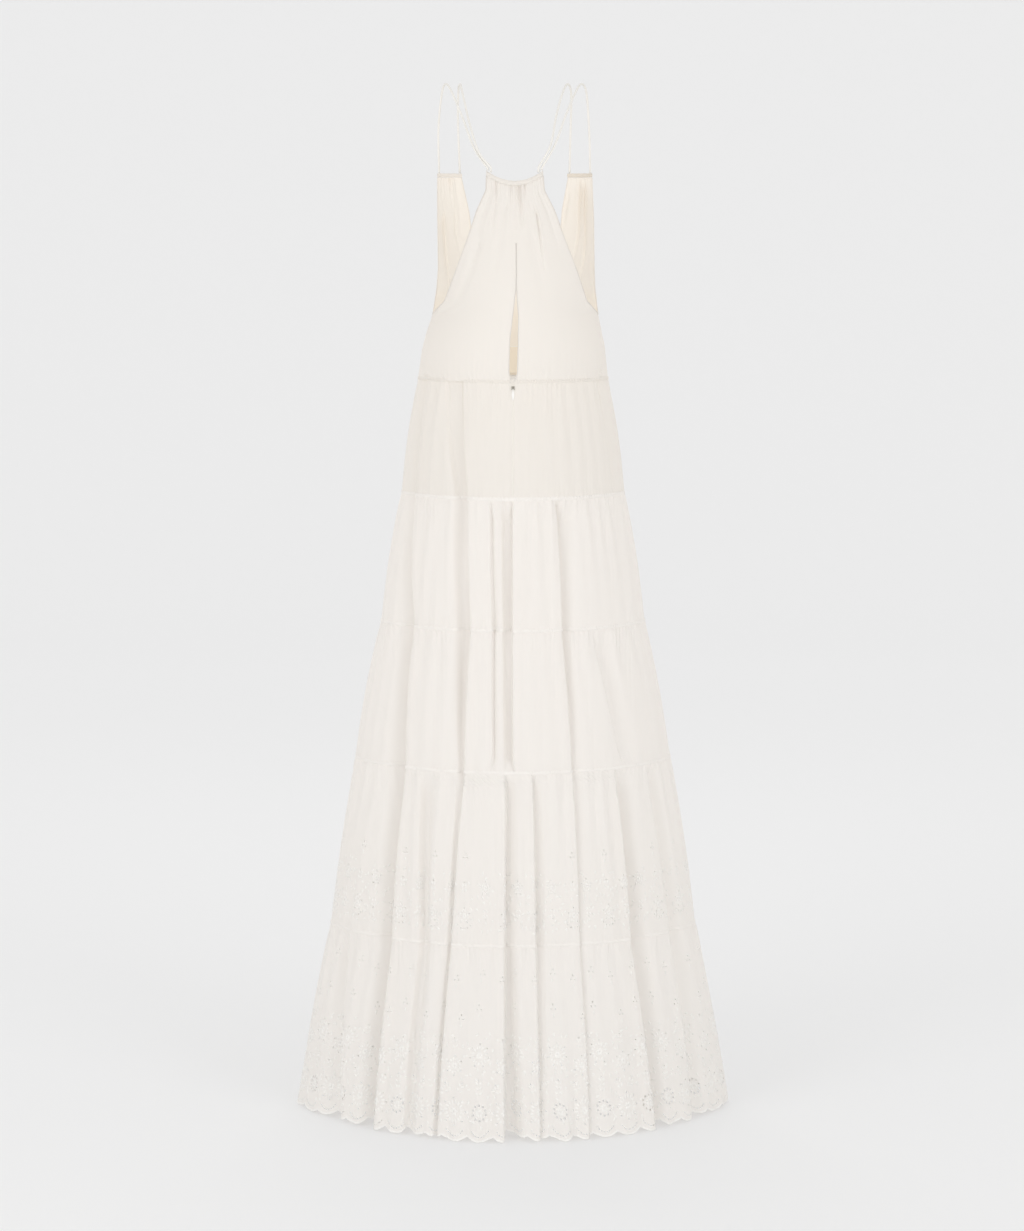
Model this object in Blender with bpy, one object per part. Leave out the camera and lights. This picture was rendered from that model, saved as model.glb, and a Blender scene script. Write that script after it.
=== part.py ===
"""A sleeveless tiered maxi dress, filled out and hanging from its shoulder straps.

Metres, +Z up. The origin lies midway between the tops of the straps, +X is the viewer's right when
the garment's back is seen, and the back faces -Y. Every cloth panel is a wall lofted through
horizontal sections: an outer grid of points and the same grid moved inwards.
"""

import math
from typing import NamedTuple

import bmesh
import bpy
import numpy as np

DRESS = "maxi_dress"

# Cloth
WALL = 0.002
BINDING_WALL = 0.003
SEAM_GAP = 0.0003
CORD_RADIUS = 0.0015

# The power that rounds a section off: 1 is an ellipse, more brings its sides to a point
SECTION_POWER = 1.4
SECTION_STEPS = 720

# Heights
NECK_END_Z = -0.1228
NECK_DIP = 0.0140
NECK_BINDING_HEIGHT = 0.0070
FRONT_TOP_Z = -0.1260
FRONT_BINDING_HEIGHT = 0.0060
UNDERARM_Z = -0.3226
WAISTBAND_TOP_Z = -0.3750
WAIST_Z = -0.4150


class Level(NamedTuple):
    """The skirt's section at a seam, with how deep and wide its fold valleys are there."""

    z: float
    half_width: float
    half_depth: float
    fold_depth: float
    fold_width: float


LEVELS = (
    Level(WAIST_Z, 0.1350, 0.0950, 0.0010, 0.0060),
    Level(-0.5780, 0.1590, 0.1120, 0.0080, 0.0080),
    Level(-0.7620, 0.1890, 0.1260, 0.0120, 0.0100),
    Level(-0.9590, 0.2265, 0.1500, 0.0180, 0.0115),
    Level(-1.2020, 0.2640, 0.1720, 0.0240, 0.0130),
    Level(-1.4700, 0.3140, 0.2220, 0.0360, 0.0150),
)
TIERS = len(LEVELS) - 1


class Fold(NamedTuple):
    """A fold valley: the level where it starts, and its place at each level from there on."""

    start: int
    strength: float
    places: tuple  # shares of the half width, -1 at the left side seam and 1 at the right


BACK_FOLDS = (
    Fold(4, 0.7, (-0.918, -0.819)),
    Fold(0, 0.9, (-1.000, -0.868, -0.788, -0.726, -0.703, -0.647)),
    Fold(3, 0.6, (-0.582, -0.527, -0.535)),
    Fold(0, 1.0, (-0.620, -0.495, -0.389, -0.360, -0.368, -0.340)),
    Fold(1, 0.5, (-0.150, -0.150, -0.127)),
    Fold(0, 1.0, (0.000, 0.020, 0.000, -0.027, -0.044, -0.047)),
    Fold(3, 0.9, (0.134, 0.137, 0.126)),
    Fold(1, 0.9, (0.387, 0.398, 0.367, 0.363, 0.353)),
    Fold(2, 0.8, (0.735, 0.668, 0.665, 0.623)),
    Fold(3, 0.7, (0.854, 0.868, 0.809)),
    Fold(4, 0.8, (1.000, 0.944)),
)
FRONT_FOLDS = (
    Fold(3, 0.7, (-0.960, -0.950, -0.940)),
    Fold(4, 0.6, (-0.860, -0.830)),
    Fold(1, 0.8, (-0.800, -0.760, -0.720, -0.700, -0.690)),
    Fold(3, 0.7, (-0.490, -0.510, -0.490)),
    Fold(0, 1.0, (-0.450, -0.400, -0.330, -0.300, -0.290, -0.270)),
    Fold(1, 0.7, (-0.080, -0.060, -0.070, -0.050, -0.030)),
    Fold(3, 0.8, (0.140, 0.170, 0.190)),
    Fold(0, 1.0, (0.420, 0.380, 0.400, 0.380, 0.390, 0.400)),
    Fold(3, 0.6, (0.570, 0.590, 0.600)),
    Fold(1, 0.8, (0.720, 0.760, 0.750, 0.770, 0.780)),
    Fold(3, 0.7, (0.920, 0.930, 0.920)),
)
# A valley is a narrow crease in a wider trough
CREASE_SHARE = 0.6
TROUGH_WIDTHS = 3.0

# Gathers below each seam, counted all round, and the shape of one tier from its top edge down
TIER_GATHERS = (32, 34, 36, 38, 40)
POINTS_PER_GATHER = 4
GATHER_DEPTH = 0.0022
PUFF = 0.0030


class Row(NamedTuple):
    """A ring of points in a tier: how far down it is, and how much its gathers show."""

    share_down: float
    drop: float
    gather: float


TIER_ROWS = (
    Row(0.00, 0.000, 0.20),
    Row(0.00, 0.018, 1.00),
    Row(0.50, 0.000, 0.45),
    Row(1.00, 0.000, 0.15),
)
SCALLOP_DEPTH = 0.0050


class Form(NamedTuple):
    """The figure that the bodice lies on, at one height."""

    z: float
    centre: float
    half_width: float
    back_depth: float
    front_depth: float


FIGURE = (
    Form(-0.1200, 0.0022, 0.1400, 0.0880, 0.0880),
    Form(-0.1900, 0.0038, 0.1380, 0.1000, 0.1050),
    Form(-0.2600, 0.0048, 0.1280, 0.1040, 0.1280),
    Form(-0.3000, 0.0040, 0.1190, 0.1040, 0.1320),
    Form(UNDERARM_Z, 0.0035, 0.1170, 0.1020, 0.1280),
    Form(-0.3520, 0.0015, 0.1250, 0.0995, 0.1180),
    Form(WAISTBAND_TOP_Z, 0.0008, 0.1300, 0.0975, 0.1080),
    Form(WAIST_Z, 0.0000, 0.1350, 0.0950, 0.0950),
)


class Edge(NamedTuple):
    """Half the distance between the left and right panels' edges at one height."""

    z: float
    half: float


BACK_ARMHOLE = (
    Edge(-0.1228, 0.0389),
    Edge(-0.1500, 0.0405),
    Edge(-0.1785, 0.0542),
    Edge(-0.2060, 0.0637),
    Edge(-0.2620, 0.0850),
    Edge(-0.3040, 0.1000),
    Edge(UNDERARM_Z, 0.1170),
)
FRONT_ARMHOLE = (
    Edge(-0.1260, 0.1100),
    Edge(-0.1900, 0.1115),
    Edge(-0.2600, 0.1115),
    Edge(-0.2900, 0.1130),
    Edge(UNDERARM_Z, 0.1170),
)
FRONT_NECK = (
    Edge(-0.1260, 0.0776),
    Edge(-0.1800, 0.0670),
    Edge(-0.2110, 0.0640),
    Edge(-0.2500, 0.0440),
    Edge(-0.2680, 0.0220),
    Edge(-0.2760, 0.0000),
)
# The slit at the centre back: shut at its top, open to the waist seam
BACK_SLIT = (
    Edge(-0.2800, 0.0000),
    Edge(-0.3260, 0.0043),
    Edge(-0.3600, 0.0060),
    Edge(-0.4020, 0.0060),
    Edge(-0.4110, 0.0040),
    Edge(WAIST_Z, 0.0012),
)

BACK_GATHERS = 5
FRONT_GATHERS = 4
COLUMNS_PER_GATHER = 2
BODICE_GATHER_DEPTH = 0.0009
BODICE_GATHER_REACH = 0.0900
WAISTBAND_COLUMNS = 20


class Place(NamedTuple):
    """A place that a strap passes over."""

    x: float
    y: float
    z: float


LEFT_INNER_STRAP = (
    Place(-0.0472, -0.0800, -0.0980),
    Place(-0.0599, -0.0580, -0.0600),
    Place(-0.0712, -0.0240, -0.0130),
    Place(-0.0746, 0.0000, -0.0016),
    Place(-0.0775, 0.0260, -0.0135),
    Place(-0.0784, 0.0540, -0.0560),
)
LEFT_OUTER_STRAP = (
    Place(-0.0540, -0.0740, -0.0920),
    Place(-0.0710, -0.0500, -0.0480),
    Place(-0.0860, -0.0230, -0.0130),
    Place(-0.0943, 0.0000, -0.0015),
    Place(-0.1005, 0.0220, -0.0130),
    Place(-0.1060, 0.0410, -0.0620),
)
RIGHT_INNER_STRAP = (
    Place(0.0520, -0.0760, -0.0880),
    Place(0.0600, -0.0500, -0.0480),
    Place(0.0700, -0.0220, -0.0130),
    Place(0.0772, 0.0000, -0.0016),
    Place(0.0825, 0.0260, -0.0150),
    Place(0.0822, 0.0540, -0.0574),
)
RIGHT_OUTER_STRAP = (
    Place(0.0580, -0.0730, -0.0880),
    Place(0.0740, -0.0480, -0.0450),
    Place(0.0880, -0.0220, -0.0130),
    Place(0.0964, 0.0000, -0.0015),
    Place(0.1040, 0.0220, -0.0140),
    Place(0.1085, 0.0410, -0.0700),
)
STRAP_POINTS = 24
INNER_STRAP_RISE = 0.0070
OUTER_STRAP_RISE = 0.0030
STRAP_INSET = 0.0016
STRAP_SPACING = 0.0044

# The zip's slider, a channel with the pull tab hanging in it
SLIDER_TOP_Z = -0.4215
SLIDER_HEIGHT = 0.0050
SLIDER_HALF_WIDTH = 0.0021
SLIDER_BASE = 0.0010
SLIDER_DEPTH = 0.0026
SLIDER_EAR = 0.0009
PULL_HINGE_RISE = 0.0012
PULL_LENGTH = 0.0170
PULL_THICKNESS = 0.0008
PULL_NECK = 0.0008
PULL_HALF_WIDTH = 0.0020
PULL_SEAT = 0.0003
PULL_POINTS = 12


def clear_scene():
    for obj in list(bpy.data.objects):
        bpy.data.objects.remove(obj, do_unlink=True)


def make_collection():
    collection = bpy.data.collections.new(DRESS)
    bpy.context.scene.collection.children.link(collection)
    return collection


def make_material(name, colour, roughness, metallic=0.0):
    material = bpy.data.materials.new(name)
    material.use_nodes = True
    shader = material.node_tree.nodes["Principled BSDF"]
    shader.inputs["Base Color"].default_value = (*colour, 1.0)
    shader.inputs["Roughness"].default_value = roughness
    shader.inputs["Metallic"].default_value = metallic
    return material


def column(rows, name):
    """One column of a table, from the lowest row to the highest."""
    return [getattr(row, name) for row in sorted(rows, key=lambda row: row.z)]


def read(rows, name, z):
    """A table's column at any height."""
    return np.interp(z, column(rows, "z"), column(rows, name))


def section_curve(turn, half_width, half_depth):
    """A point of a rounded section: turn 0 is the centre back, and a quarter turn is the side."""
    lean = np.cos(turn)
    x = half_width * np.sin(turn)
    y = -half_depth * np.sign(lean) * np.abs(lean) ** SECTION_POWER
    return x, y


def section_normal(turn, half_width, half_depth):
    """The outward horizontal normal of that section, as x and y."""
    lean = np.cos(turn)
    slope = half_depth * SECTION_POWER * np.abs(lean) ** (SECTION_POWER - 1.0)
    x = slope * np.sin(turn)
    y = -half_width * lean
    size = np.hypot(x, y)
    return x / size, y / size


def running_share(half_width, half_depth):
    """The turns round a section, and how far along its edge each lies, -0.5 to 0.5."""
    turn = np.linspace(-math.pi, math.pi, SECTION_STEPS + 1)
    x, y = section_curve(turn, half_width, half_depth)
    steps = np.hypot(np.diff(x), np.diff(y))
    run = np.concatenate([[0.0], np.cumsum(steps)])
    return turn, run / run[-1] - 0.5, run[-1]


def fold_share(place, on_front):
    """Where a fold lies along the section's edge, from its share of the half width."""
    turn, share, _ = running_share(LEVELS[1].half_width, LEVELS[1].half_depth)
    back = np.interp(math.asin(place), turn, share)
    return math.copysign(0.5, back) - back if on_front else back


def level_number(z):
    """How many levels down a height is, with the part between two levels."""
    heights = [level.z for level in reversed(LEVELS)]
    numbers = list(range(TIERS, -1, -1))
    return float(np.interp(z, heights, numbers))


def fold_places(z):
    """Every fold at one height: its share along the edge, and its strength there."""
    number = level_number(z)
    found = []
    for folds, on_front in ((BACK_FOLDS, False), (FRONT_FOLDS, True)):
        for fold in folds:
            last = fold.start + len(fold.places) - 1
            fade = min(1.0, max(0.0, 1.0 + 2.0 * (number - fold.start)))
            if last < TIERS:
                fade *= min(1.0, max(0.0, 1.0 + 2.0 * (last - number)))
            if fade <= 0.0:
                continue
            steps = range(fold.start, last + 1)
            shares = [fold_share(place, on_front) for place in fold.places]
            found.append((float(np.interp(number, steps, shares)), fold.strength * fade))
    return found


def valley(distance, width):
    """A fold's depth across it: a narrow crease in a wider trough."""
    crease = np.exp(-((distance / width) ** 2))
    trough = np.exp(-((distance / (TROUGH_WIDTHS * width)) ** 2))
    return CREASE_SHARE * crease + (1.0 - CREASE_SHARE) * trough


def skirt_ring(z, count, puff, gather):
    """A ring's points and outward normals, starting at the centre front and going by the left."""
    half_width = read(LEVELS, "half_width", z) + puff
    half_depth = read(LEVELS, "half_depth", z) + puff
    turn, share, length = running_share(half_width, half_depth)
    at = np.arange(count) / count - 0.5
    turns = np.interp(at, share, turn)
    x, y = section_curve(turns, half_width, half_depth)
    normal_x, normal_y = section_normal(turns, half_width, half_depth)
    depth = np.zeros(count)
    for place, strength in fold_places(z):
        away = (at - place + 0.5) % 1.0 - 0.5
        width = read(LEVELS, "fold_width", z)
        depth += strength * read(LEVELS, "fold_depth", z) * valley(away * length, width)
    uneven = 0.75 + 0.25 * np.sin(2.0 * math.pi * 5.0 * at + 40.0 * z)
    wave = np.cos(2.0 * math.pi * np.arange(count) / POINTS_PER_GATHER)
    drawn = GATHER_DEPTH * gather * uneven * (0.5 - 0.5 * wave)
    from_axis = np.hypot(x, y)
    kept = 1.0 - depth / from_axis
    points = np.stack([x * kept - normal_x * drawn, y * kept - normal_y * drawn], axis=1)
    along = np.roll(points, -1, axis=0) - np.roll(points, 1, axis=0)
    along /= np.linalg.norm(along, axis=1)[:, None]
    normals = np.stack([along[:, 1], -along[:, 0]], axis=1)
    return points, normals, along


def tier_rings(number):
    """All rings of a tier, from its top edge to its bottom edge."""
    top, bottom = LEVELS[number], LEVELS[number + 1]
    count = TIER_GATHERS[number] * POINTS_PER_GATHER
    rings = []
    for row in TIER_ROWS:
        share = row.share_down + row.drop / (top.z - bottom.z)
        z = top.z + (bottom.z - top.z) * share
        puff = PUFF * math.sin(math.pi * share)
        points, normals, along = skirt_ring(z, count, puff, row.gather)
        heights = np.full(count, z)
        if row is TIER_ROWS[0]:
            heights -= SEAM_GAP / 2.0
        elif row is TIER_ROWS[-1] and number < TIERS - 1:
            heights += SEAM_GAP / 2.0
        elif row is TIER_ROWS[-1]:
            phase = np.arange(count) / POINTS_PER_GATHER
            heights += SCALLOP_DEPTH * (1.0 - np.abs(np.sin(math.pi * phase)))
        rings.append((points, normals, along, heights))
    return rings


def tier_panel(name, number, first, last, material, collection):
    """One panel of a tier, between two points of its rings."""
    picked = np.arange(first, last + 1)
    outer, inner = [], []
    for points, normals, along, heights in tier_rings(number):
        index = picked % len(points)
        flat = points[index].copy()
        flat[0] += along[index[0]] * SEAM_GAP / 2.0
        flat[-1] -= along[index[-1]] * SEAM_GAP / 2.0
        behind = flat - normals[index] * WALL
        outer.append(np.column_stack([flat, heights[index]]))
        inner.append(np.column_stack([behind, heights[index]]))
    return add_wall(name, outer, inner, material, collection)


def add_mesh(name, corners, faces, material, collection):
    mesh = bpy.data.meshes.new(name)
    mesh.from_pydata([tuple(map(float, corner)) for corner in corners], [], faces)
    work = bmesh.new()
    work.from_mesh(mesh)
    bmesh.ops.recalc_face_normals(work, faces=work.faces)
    work.to_mesh(mesh)
    work.free()
    mesh.shade_smooth()
    mesh.set_sharp_from_angle(angle=math.radians(50))
    obj = bpy.data.objects.new(name, mesh)
    obj.data.materials.append(material)
    collection.objects.link(obj)
    return obj


def add_wall(name, outer, inner, material, collection):
    """A closed wall between two grids of points, each a list of rows."""
    rows, columns = len(outer), len(outer[0])
    corners = [corner for grid in (outer, inner) for row in grid for corner in row]
    behind = rows * columns

    def at(row, place):
        return row * columns + place

    faces = []
    for row in range(rows - 1):
        for place in range(columns - 1):
            a, b = at(row, place), at(row, place + 1)
            c, d = at(row + 1, place + 1), at(row + 1, place)
            faces.append((a, b, c, d))
            faces.append((behind + d, behind + c, behind + b, behind + a))
    rim = [at(0, place) for place in range(columns)]
    rim += [at(row, columns - 1) for row in range(1, rows)]
    rim += [at(rows - 1, place) for place in range(columns - 2, -1, -1)]
    rim += [at(row, 0) for row in range(rows - 2, 0, -1)]
    for a, b in zip(rim, rim[1:] + rim[:1]):
        faces.append((b, a, behind + a, behind + b))
    return add_mesh(name, corners, faces, material, collection)


def figure_point(turn, z, on_front, out=0.0):
    """A point on the figure, moved out along the section's normal."""
    half_width = read(FIGURE, "half_width", z)
    half_depth = read(FIGURE, "front_depth" if on_front else "back_depth", z)
    x, y = section_curve(turn, half_width, half_depth)
    normal_x, normal_y = section_normal(turn, half_width, half_depth)
    facing = -1.0 if on_front else 1.0
    centre = read(FIGURE, "centre", z)
    return centre + x + normal_x * out, facing * (y + normal_y * out), z


def edge_turn(edges, z):
    """The turn of a panel's edge at one height, which is the side seam below the underarm."""
    half_width = read(FIGURE, "half_width", z)
    share = read(edges, "half", z) / half_width
    return math.asin(min(1.0, share))


def bodice_gather(place, z, top_z, count):
    """How far a panel's cloth is drawn in by the gathers at its top."""
    fade = max(0.0, 1.0 - (top_z - z) / BODICE_GATHER_REACH)
    wave = math.cos(2.0 * math.pi * place / COLUMNS_PER_GATHER)
    return BODICE_GATHER_DEPTH * fade * wave * (1.0 if count else 0.0)


def panel_grid(side, on_front, heights, inner_edge, outer_edge, gathers, dip, centre_gap):
    """The outer and inner grids of a bodice panel, one row for each height."""
    columns = gathers * COLUMNS_PER_GATHER
    top_z = heights[0]
    outer, inner = [], []
    for z in heights:
        armhole = z > UNDERARM_Z
        start = edge_turn(inner_edge, z)
        end = edge_turn(outer_edge, z) if armhole else math.pi / 2.0
        lowering = dip * max(0.0, 1.0 - (top_z - z) / BODICE_GATHER_REACH)
        front_row, back_row = [], []
        for place in range(columns + 1):
            share = place / columns
            turn = side * (start + (end - start) * share)
            height = z - lowering * (1.0 - share**2)
            drawn = bodice_gather(place, z, top_z, gathers)
            for row, out in ((front_row, drawn), (back_row, drawn - WALL)):
                x, y, height_there = figure_point(turn, height, on_front, out)
                if place == 0 and start < centre_gap:
                    x += side * SEAM_GAP / 2.0
                if place == columns and not armhole:
                    y += (1.0 if on_front else -1.0) * SEAM_GAP / 2.0
                row.append((x, y, height_there))
        outer.append(front_row)
        inner.append(back_row)
    return outer, inner


def back_bodice(name, side, material, collection):
    top = NECK_END_Z - NECK_BINDING_HEIGHT
    heights = [top, -0.1500, -0.1785, -0.2060, -0.2340, -0.2620, -0.2830, -0.3040]
    heights += [UNDERARM_Z, -0.3420, -0.3620, -0.3830, -0.4020, -0.4110]
    heights.append(WAIST_Z + SEAM_GAP / 2.0)
    outer, inner = panel_grid(
        side, False, heights, BACK_SLIT, BACK_ARMHOLE, BACK_GATHERS, NECK_DIP, 0.002
    )
    return add_wall(name, outer, inner, material, collection)


def front_bodice(name, side, material, collection):
    top = FRONT_TOP_Z - FRONT_BINDING_HEIGHT
    heights = [top, -0.1560, -0.1830, -0.2110, -0.2320, -0.2500, -0.2680, -0.2760]
    heights += [-0.3000, UNDERARM_Z, -0.3500, WAISTBAND_TOP_Z + SEAM_GAP / 2.0]
    outer, inner = panel_grid(
        side, True, heights, FRONT_NECK, FRONT_ARMHOLE, FRONT_GATHERS, 0.0, 0.002
    )
    return add_wall(name, outer, inner, material, collection)


def band(name, turns, on_front, low, high, thickness, out, material, collection):
    """A strip along a panel's edge: low and high are its heights at each turn."""
    outer, inner = [], []
    for heights in (high, low):
        outer.append([figure_point(t, z, on_front, out) for t, z in zip(turns, heights)])
        inner.append(
            [figure_point(t, z, on_front, out - thickness) for t, z in zip(turns, heights)]
        )
    return add_wall(name, outer, inner, material, collection)


def back_neck_binding(material, collection):
    columns = 2 * BACK_GATHERS * COLUMNS_PER_GATHER
    edge = edge_turn(BACK_ARMHOLE, NECK_END_Z - NECK_BINDING_HEIGHT)
    shares = [2.0 * place / columns - 1.0 for place in range(columns + 1)]
    turns = [edge * share for share in shares]
    high = [neck_binding_top(abs(share)) for share in shares]
    low = [z - NECK_BINDING_HEIGHT + 1.5 * SEAM_GAP for z in high]
    out = (BINDING_WALL - WALL) / 2.0
    return band(
        "back_neck_binding", turns, False, low, high, BINDING_WALL, out, material, collection
    )


def front_top_binding(name, side, material, collection):
    columns = FRONT_GATHERS * COLUMNS_PER_GATHER
    panel_top = FRONT_TOP_Z - FRONT_BINDING_HEIGHT
    start, end = edge_turn(FRONT_NECK, panel_top), edge_turn(FRONT_ARMHOLE, panel_top)
    shares = [place / columns for place in range(columns + 1)]
    turns = [side * (start + (end - start) * share) for share in shares]
    high = [FRONT_TOP_Z] * len(turns)
    low = [panel_top + SEAM_GAP] * len(turns)
    out = (BINDING_WALL - WALL) / 2.0
    return band(name, turns, True, low, high, BINDING_WALL, out, material, collection)


def front_waistband(material, collection):
    shares = [2.0 * place / WAISTBAND_COLUMNS - 1.0 for place in range(WAISTBAND_COLUMNS + 1)]
    turns = [math.pi / 2.0 * share for share in shares]
    high = [WAISTBAND_TOP_Z - SEAM_GAP / 2.0] * len(turns)
    low = [WAIST_Z + SEAM_GAP / 2.0] * len(turns)
    obj = band("front_waistband", turns, True, low, high, WALL, 0.0, material, collection)
    for vertex in obj.data.vertices:
        vertex.co.y = max(vertex.co.y, SEAM_GAP / 2.0)
    return obj


def smooth_route(places, count):
    """Points along a smooth curve through the places, a cubic through each four neighbours."""
    route = np.array(places)
    route = np.vstack([2 * route[0] - route[1], route, 2 * route[-1] - route[-2]])
    spans = len(places) - 1
    points = []
    for step in range(count):
        along = step * spans / (count - 1)
        number = min(int(along), spans - 1)
        t = along - number
        a, b, c, d = route[number : number + 4]
        points.append(
            0.5 * (2 * b + (c - a) * t + (2 * a - 5 * b + 4 * c - d) * t**2
                   + (3 * b - a - 3 * c + d) * t**3)
        )
    return points


def strap_points(places):
    """The strap's points: its upright ends, and a smooth curve between them."""
    middle = smooth_route(places[1:-1], STRAP_POINTS)
    return [places[0], *middle, places[-1]]


def add_strap(name, places, material, collection):
    curve = bpy.data.curves.new(name, "CURVE")
    curve.dimensions = "3D"
    curve.bevel_depth = CORD_RADIUS
    curve.bevel_resolution = 2
    curve.use_fill_caps = True
    spline = curve.splines.new("POLY")
    points = strap_points(places)
    spline.points.add(len(points) - 1)
    for knot, point in zip(spline.points, points):
        knot.co = (*map(float, point), 1.0)
    obj = bpy.data.objects.new(name, curve)
    obj.data.materials.append(material)
    collection.objects.link(obj)
    return obj


def neck_binding_top(share):
    """The height of the neck binding's top edge, at a share of its half length."""
    return NECK_END_Z - NECK_DIP * (1.0 - min(1.0, share) ** 2)


def strap_route(side, outside, middle):
    """A strap's route: its seat on the neck binding, its places, its seat on the front binding."""
    neck_half = read(BACK_ARMHOLE, "half", NECK_END_Z - NECK_BINDING_HEIGHT)
    half_width = read(FIGURE, "half_width", NECK_END_Z)
    reach = neck_half - STRAP_INSET - (0.0 if outside else STRAP_SPACING)
    back_seat = neck_binding_top((reach + CORD_RADIUS) / neck_half) + SEAM_GAP
    turn = side * math.asin(reach / half_width)
    start = figure_point(turn, back_seat, False, -WALL / 2.0)
    edges = FRONT_ARMHOLE if outside else FRONT_NECK
    front_half = read(edges, "half", FRONT_TOP_Z) + STRAP_INSET * (-1.0 if outside else 1.0)
    half_width = read(FIGURE, "half_width", FRONT_TOP_Z)
    turn = side * math.asin(front_half / half_width)
    end = figure_point(turn, FRONT_TOP_Z + SEAM_GAP, True, -WALL / 2.0)
    rise = OUTER_STRAP_RISE if outside else INNER_STRAP_RISE
    return [start, raised(start, rise), *map(tuple, middle), raised(end, rise), end]


def raised(point, rise):
    """A place straight above a strap's seat, so that the strap leaves the seat upright."""
    return point[0], point[1], point[2] + rise


def zip_place():
    """Where the slider sits: the outer face of the centre-back seam, and its lean."""
    z = SLIDER_TOP_Z - SLIDER_HEIGHT / 2.0
    low_z = z - PULL_LENGTH
    count = TIER_GATHERS[0] * POINTS_PER_GATHER
    faces = []
    for height in (z, low_z):
        share = (WAIST_Z - height) / (WAIST_Z - LEVELS[1].z)
        puff = PUFF * math.sin(math.pi * share)
        points, _, _ = skirt_ring(height, count, puff, 0.0)
        faces.append(float(points[count // 2][1]))
    lean = math.atan2(faces[0] - faces[1], PULL_LENGTH)
    return faces[0], z, lean


def zip_slider(material, collection):
    """A channel that is open towards the back, cut from a flat outline."""
    half, base, depth, ear = SLIDER_HALF_WIDTH, SLIDER_BASE, SLIDER_DEPTH, SLIDER_EAR
    outline = (
        (-half, 0.0),
        (half, 0.0),
        (half, -depth),
        (half - ear, -depth),
        (half - ear, -base),
        (-half + ear, -base),
        (-half + ear, -depth),
        (-half, -depth),
    )
    face_y, z, lean = zip_place()
    obj = flat_outline("zip_slider", outline, SLIDER_HEIGHT, material, collection)
    obj.location = (0.0, face_y - PULL_SEAT, z)
    obj.rotation_euler = (-lean, 0.0, 0.0)
    return obj


def flat_outline(name, outline, thickness, material, collection):
    curve = bpy.data.curves.new(name, "CURVE")
    curve.dimensions = "2D"
    curve.fill_mode = "BOTH"
    curve.extrude = thickness / 2.0
    spline = curve.splines.new("POLY")
    spline.points.add(len(outline) - 1)
    for knot, (x, y) in zip(spline.points, outline):
        knot.co = (x, y, 0.0, 1.0)
    spline.use_cyclic_u = True
    obj = bpy.data.objects.new(name, curve)
    obj.data.materials.append(material)
    collection.objects.link(obj)
    return obj


def pull_half_width(share):
    """Half the pull tab's width: a slim neck, then a drop with a round end."""
    if share < 0.15:
        return PULL_NECK
    drop = (share - 0.15) / 0.85
    body = PULL_HALF_WIDTH * math.sin(math.pi * drop**0.6) ** 0.8
    return max(body, PULL_NECK * (1.0 - drop) ** 0.5)


def zip_pull(material, collection):
    """A drop-shaped tab with its origin on the hinge, hanging along the cloth."""
    outline = []
    for side in (-1.0, 1.0):
        shares = [step / PULL_POINTS for step in range(PULL_POINTS)]
        points = [(side * pull_half_width(s), -PULL_LENGTH * s) for s in shares]
        outline += points if side < 0.0 else [(0.0, -PULL_LENGTH)] + points[::-1]
    obj = flat_outline("zip_pull", outline, PULL_THICKNESS, material, collection)
    face_y, z, lean = zip_place()
    stand = PULL_SEAT + SLIDER_BASE + PULL_SEAT + PULL_THICKNESS / 2.0
    drop = SLIDER_HEIGHT / 2.0 - PULL_HINGE_RISE
    obj.location = (
        0.0,
        face_y - stand * math.cos(lean) - drop * math.sin(lean),
        z - drop * math.cos(lean) + stand * math.sin(lean),
    )
    obj.rotation_euler = (math.pi / 2.0 - lean, 0.0, 0.0)
    return obj


def build_skirt(voile, embroidered, collection):
    for number in range(TIERS):
        cloth = embroidered if number >= TIERS - 2 else voile
        quarter = TIER_GATHERS[number] * POINTS_PER_GATHER // 4
        left_side, centre, right_side = quarter, 2 * quarter, 3 * quarter
        label = f"tier_{number + 1}"
        if number == 0:
            tier_panel(f"{label}_back_left", number, left_side, centre, cloth, collection)
            tier_panel(f"{label}_back_right", number, centre, right_side, cloth, collection)
        else:
            tier_panel(f"{label}_back", number, left_side, right_side, cloth, collection)
        front_end = left_side + 4 * quarter
        tier_panel(f"{label}_front", number, right_side, front_end, cloth, collection)


def build_bodice(voile, trim, collection):
    for word, side in (("left", -1.0), ("right", 1.0)):
        back_bodice(f"back_bodice_{word}", side, voile, collection)
        front_bodice(f"front_bodice_{word}", side, voile, collection)
        front_top_binding(f"front_top_binding_{word}", side, trim, collection)
    back_neck_binding(trim, collection)
    front_waistband(voile, collection)


def build_straps(trim, collection):
    straps = (
        ("strap_left_inner", -1.0, False, LEFT_INNER_STRAP),
        ("strap_left_outer", -1.0, True, LEFT_OUTER_STRAP),
        ("strap_right_inner", 1.0, False, RIGHT_INNER_STRAP),
        ("strap_right_outer", 1.0, True, RIGHT_OUTER_STRAP),
    )
    for name, side, outside, middle in straps:
        add_strap(name, strap_route(side, outside, middle), trim, collection)


def main():
    clear_scene()
    collection = make_collection()
    voile = make_material("ivory_voile", (0.80, 0.74, 0.64), 0.85)
    embroidered = make_material("embroidered_voile", (0.82, 0.76, 0.66), 0.80)
    trim = make_material("ivory_trim", (0.76, 0.69, 0.58), 0.75)
    metal = make_material("zip_metal", (0.60, 0.57, 0.52), 0.35, 0.9)
    build_skirt(voile, embroidered, collection)
    build_bodice(voile, trim, collection)
    build_straps(trim, collection)
    zip_slider(metal, collection)
    zip_pull(metal, collection)


main()
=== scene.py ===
"""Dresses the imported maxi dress: folded voile, gathers, seams, embroidery, cords and the zip.

Metres, in the row's frame: +Z up, -Y out of the garment's back, the origin between the strap tops.
"""

import math
from typing import NamedTuple

import bpy
import numpy as np
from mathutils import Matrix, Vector, geometry


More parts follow.
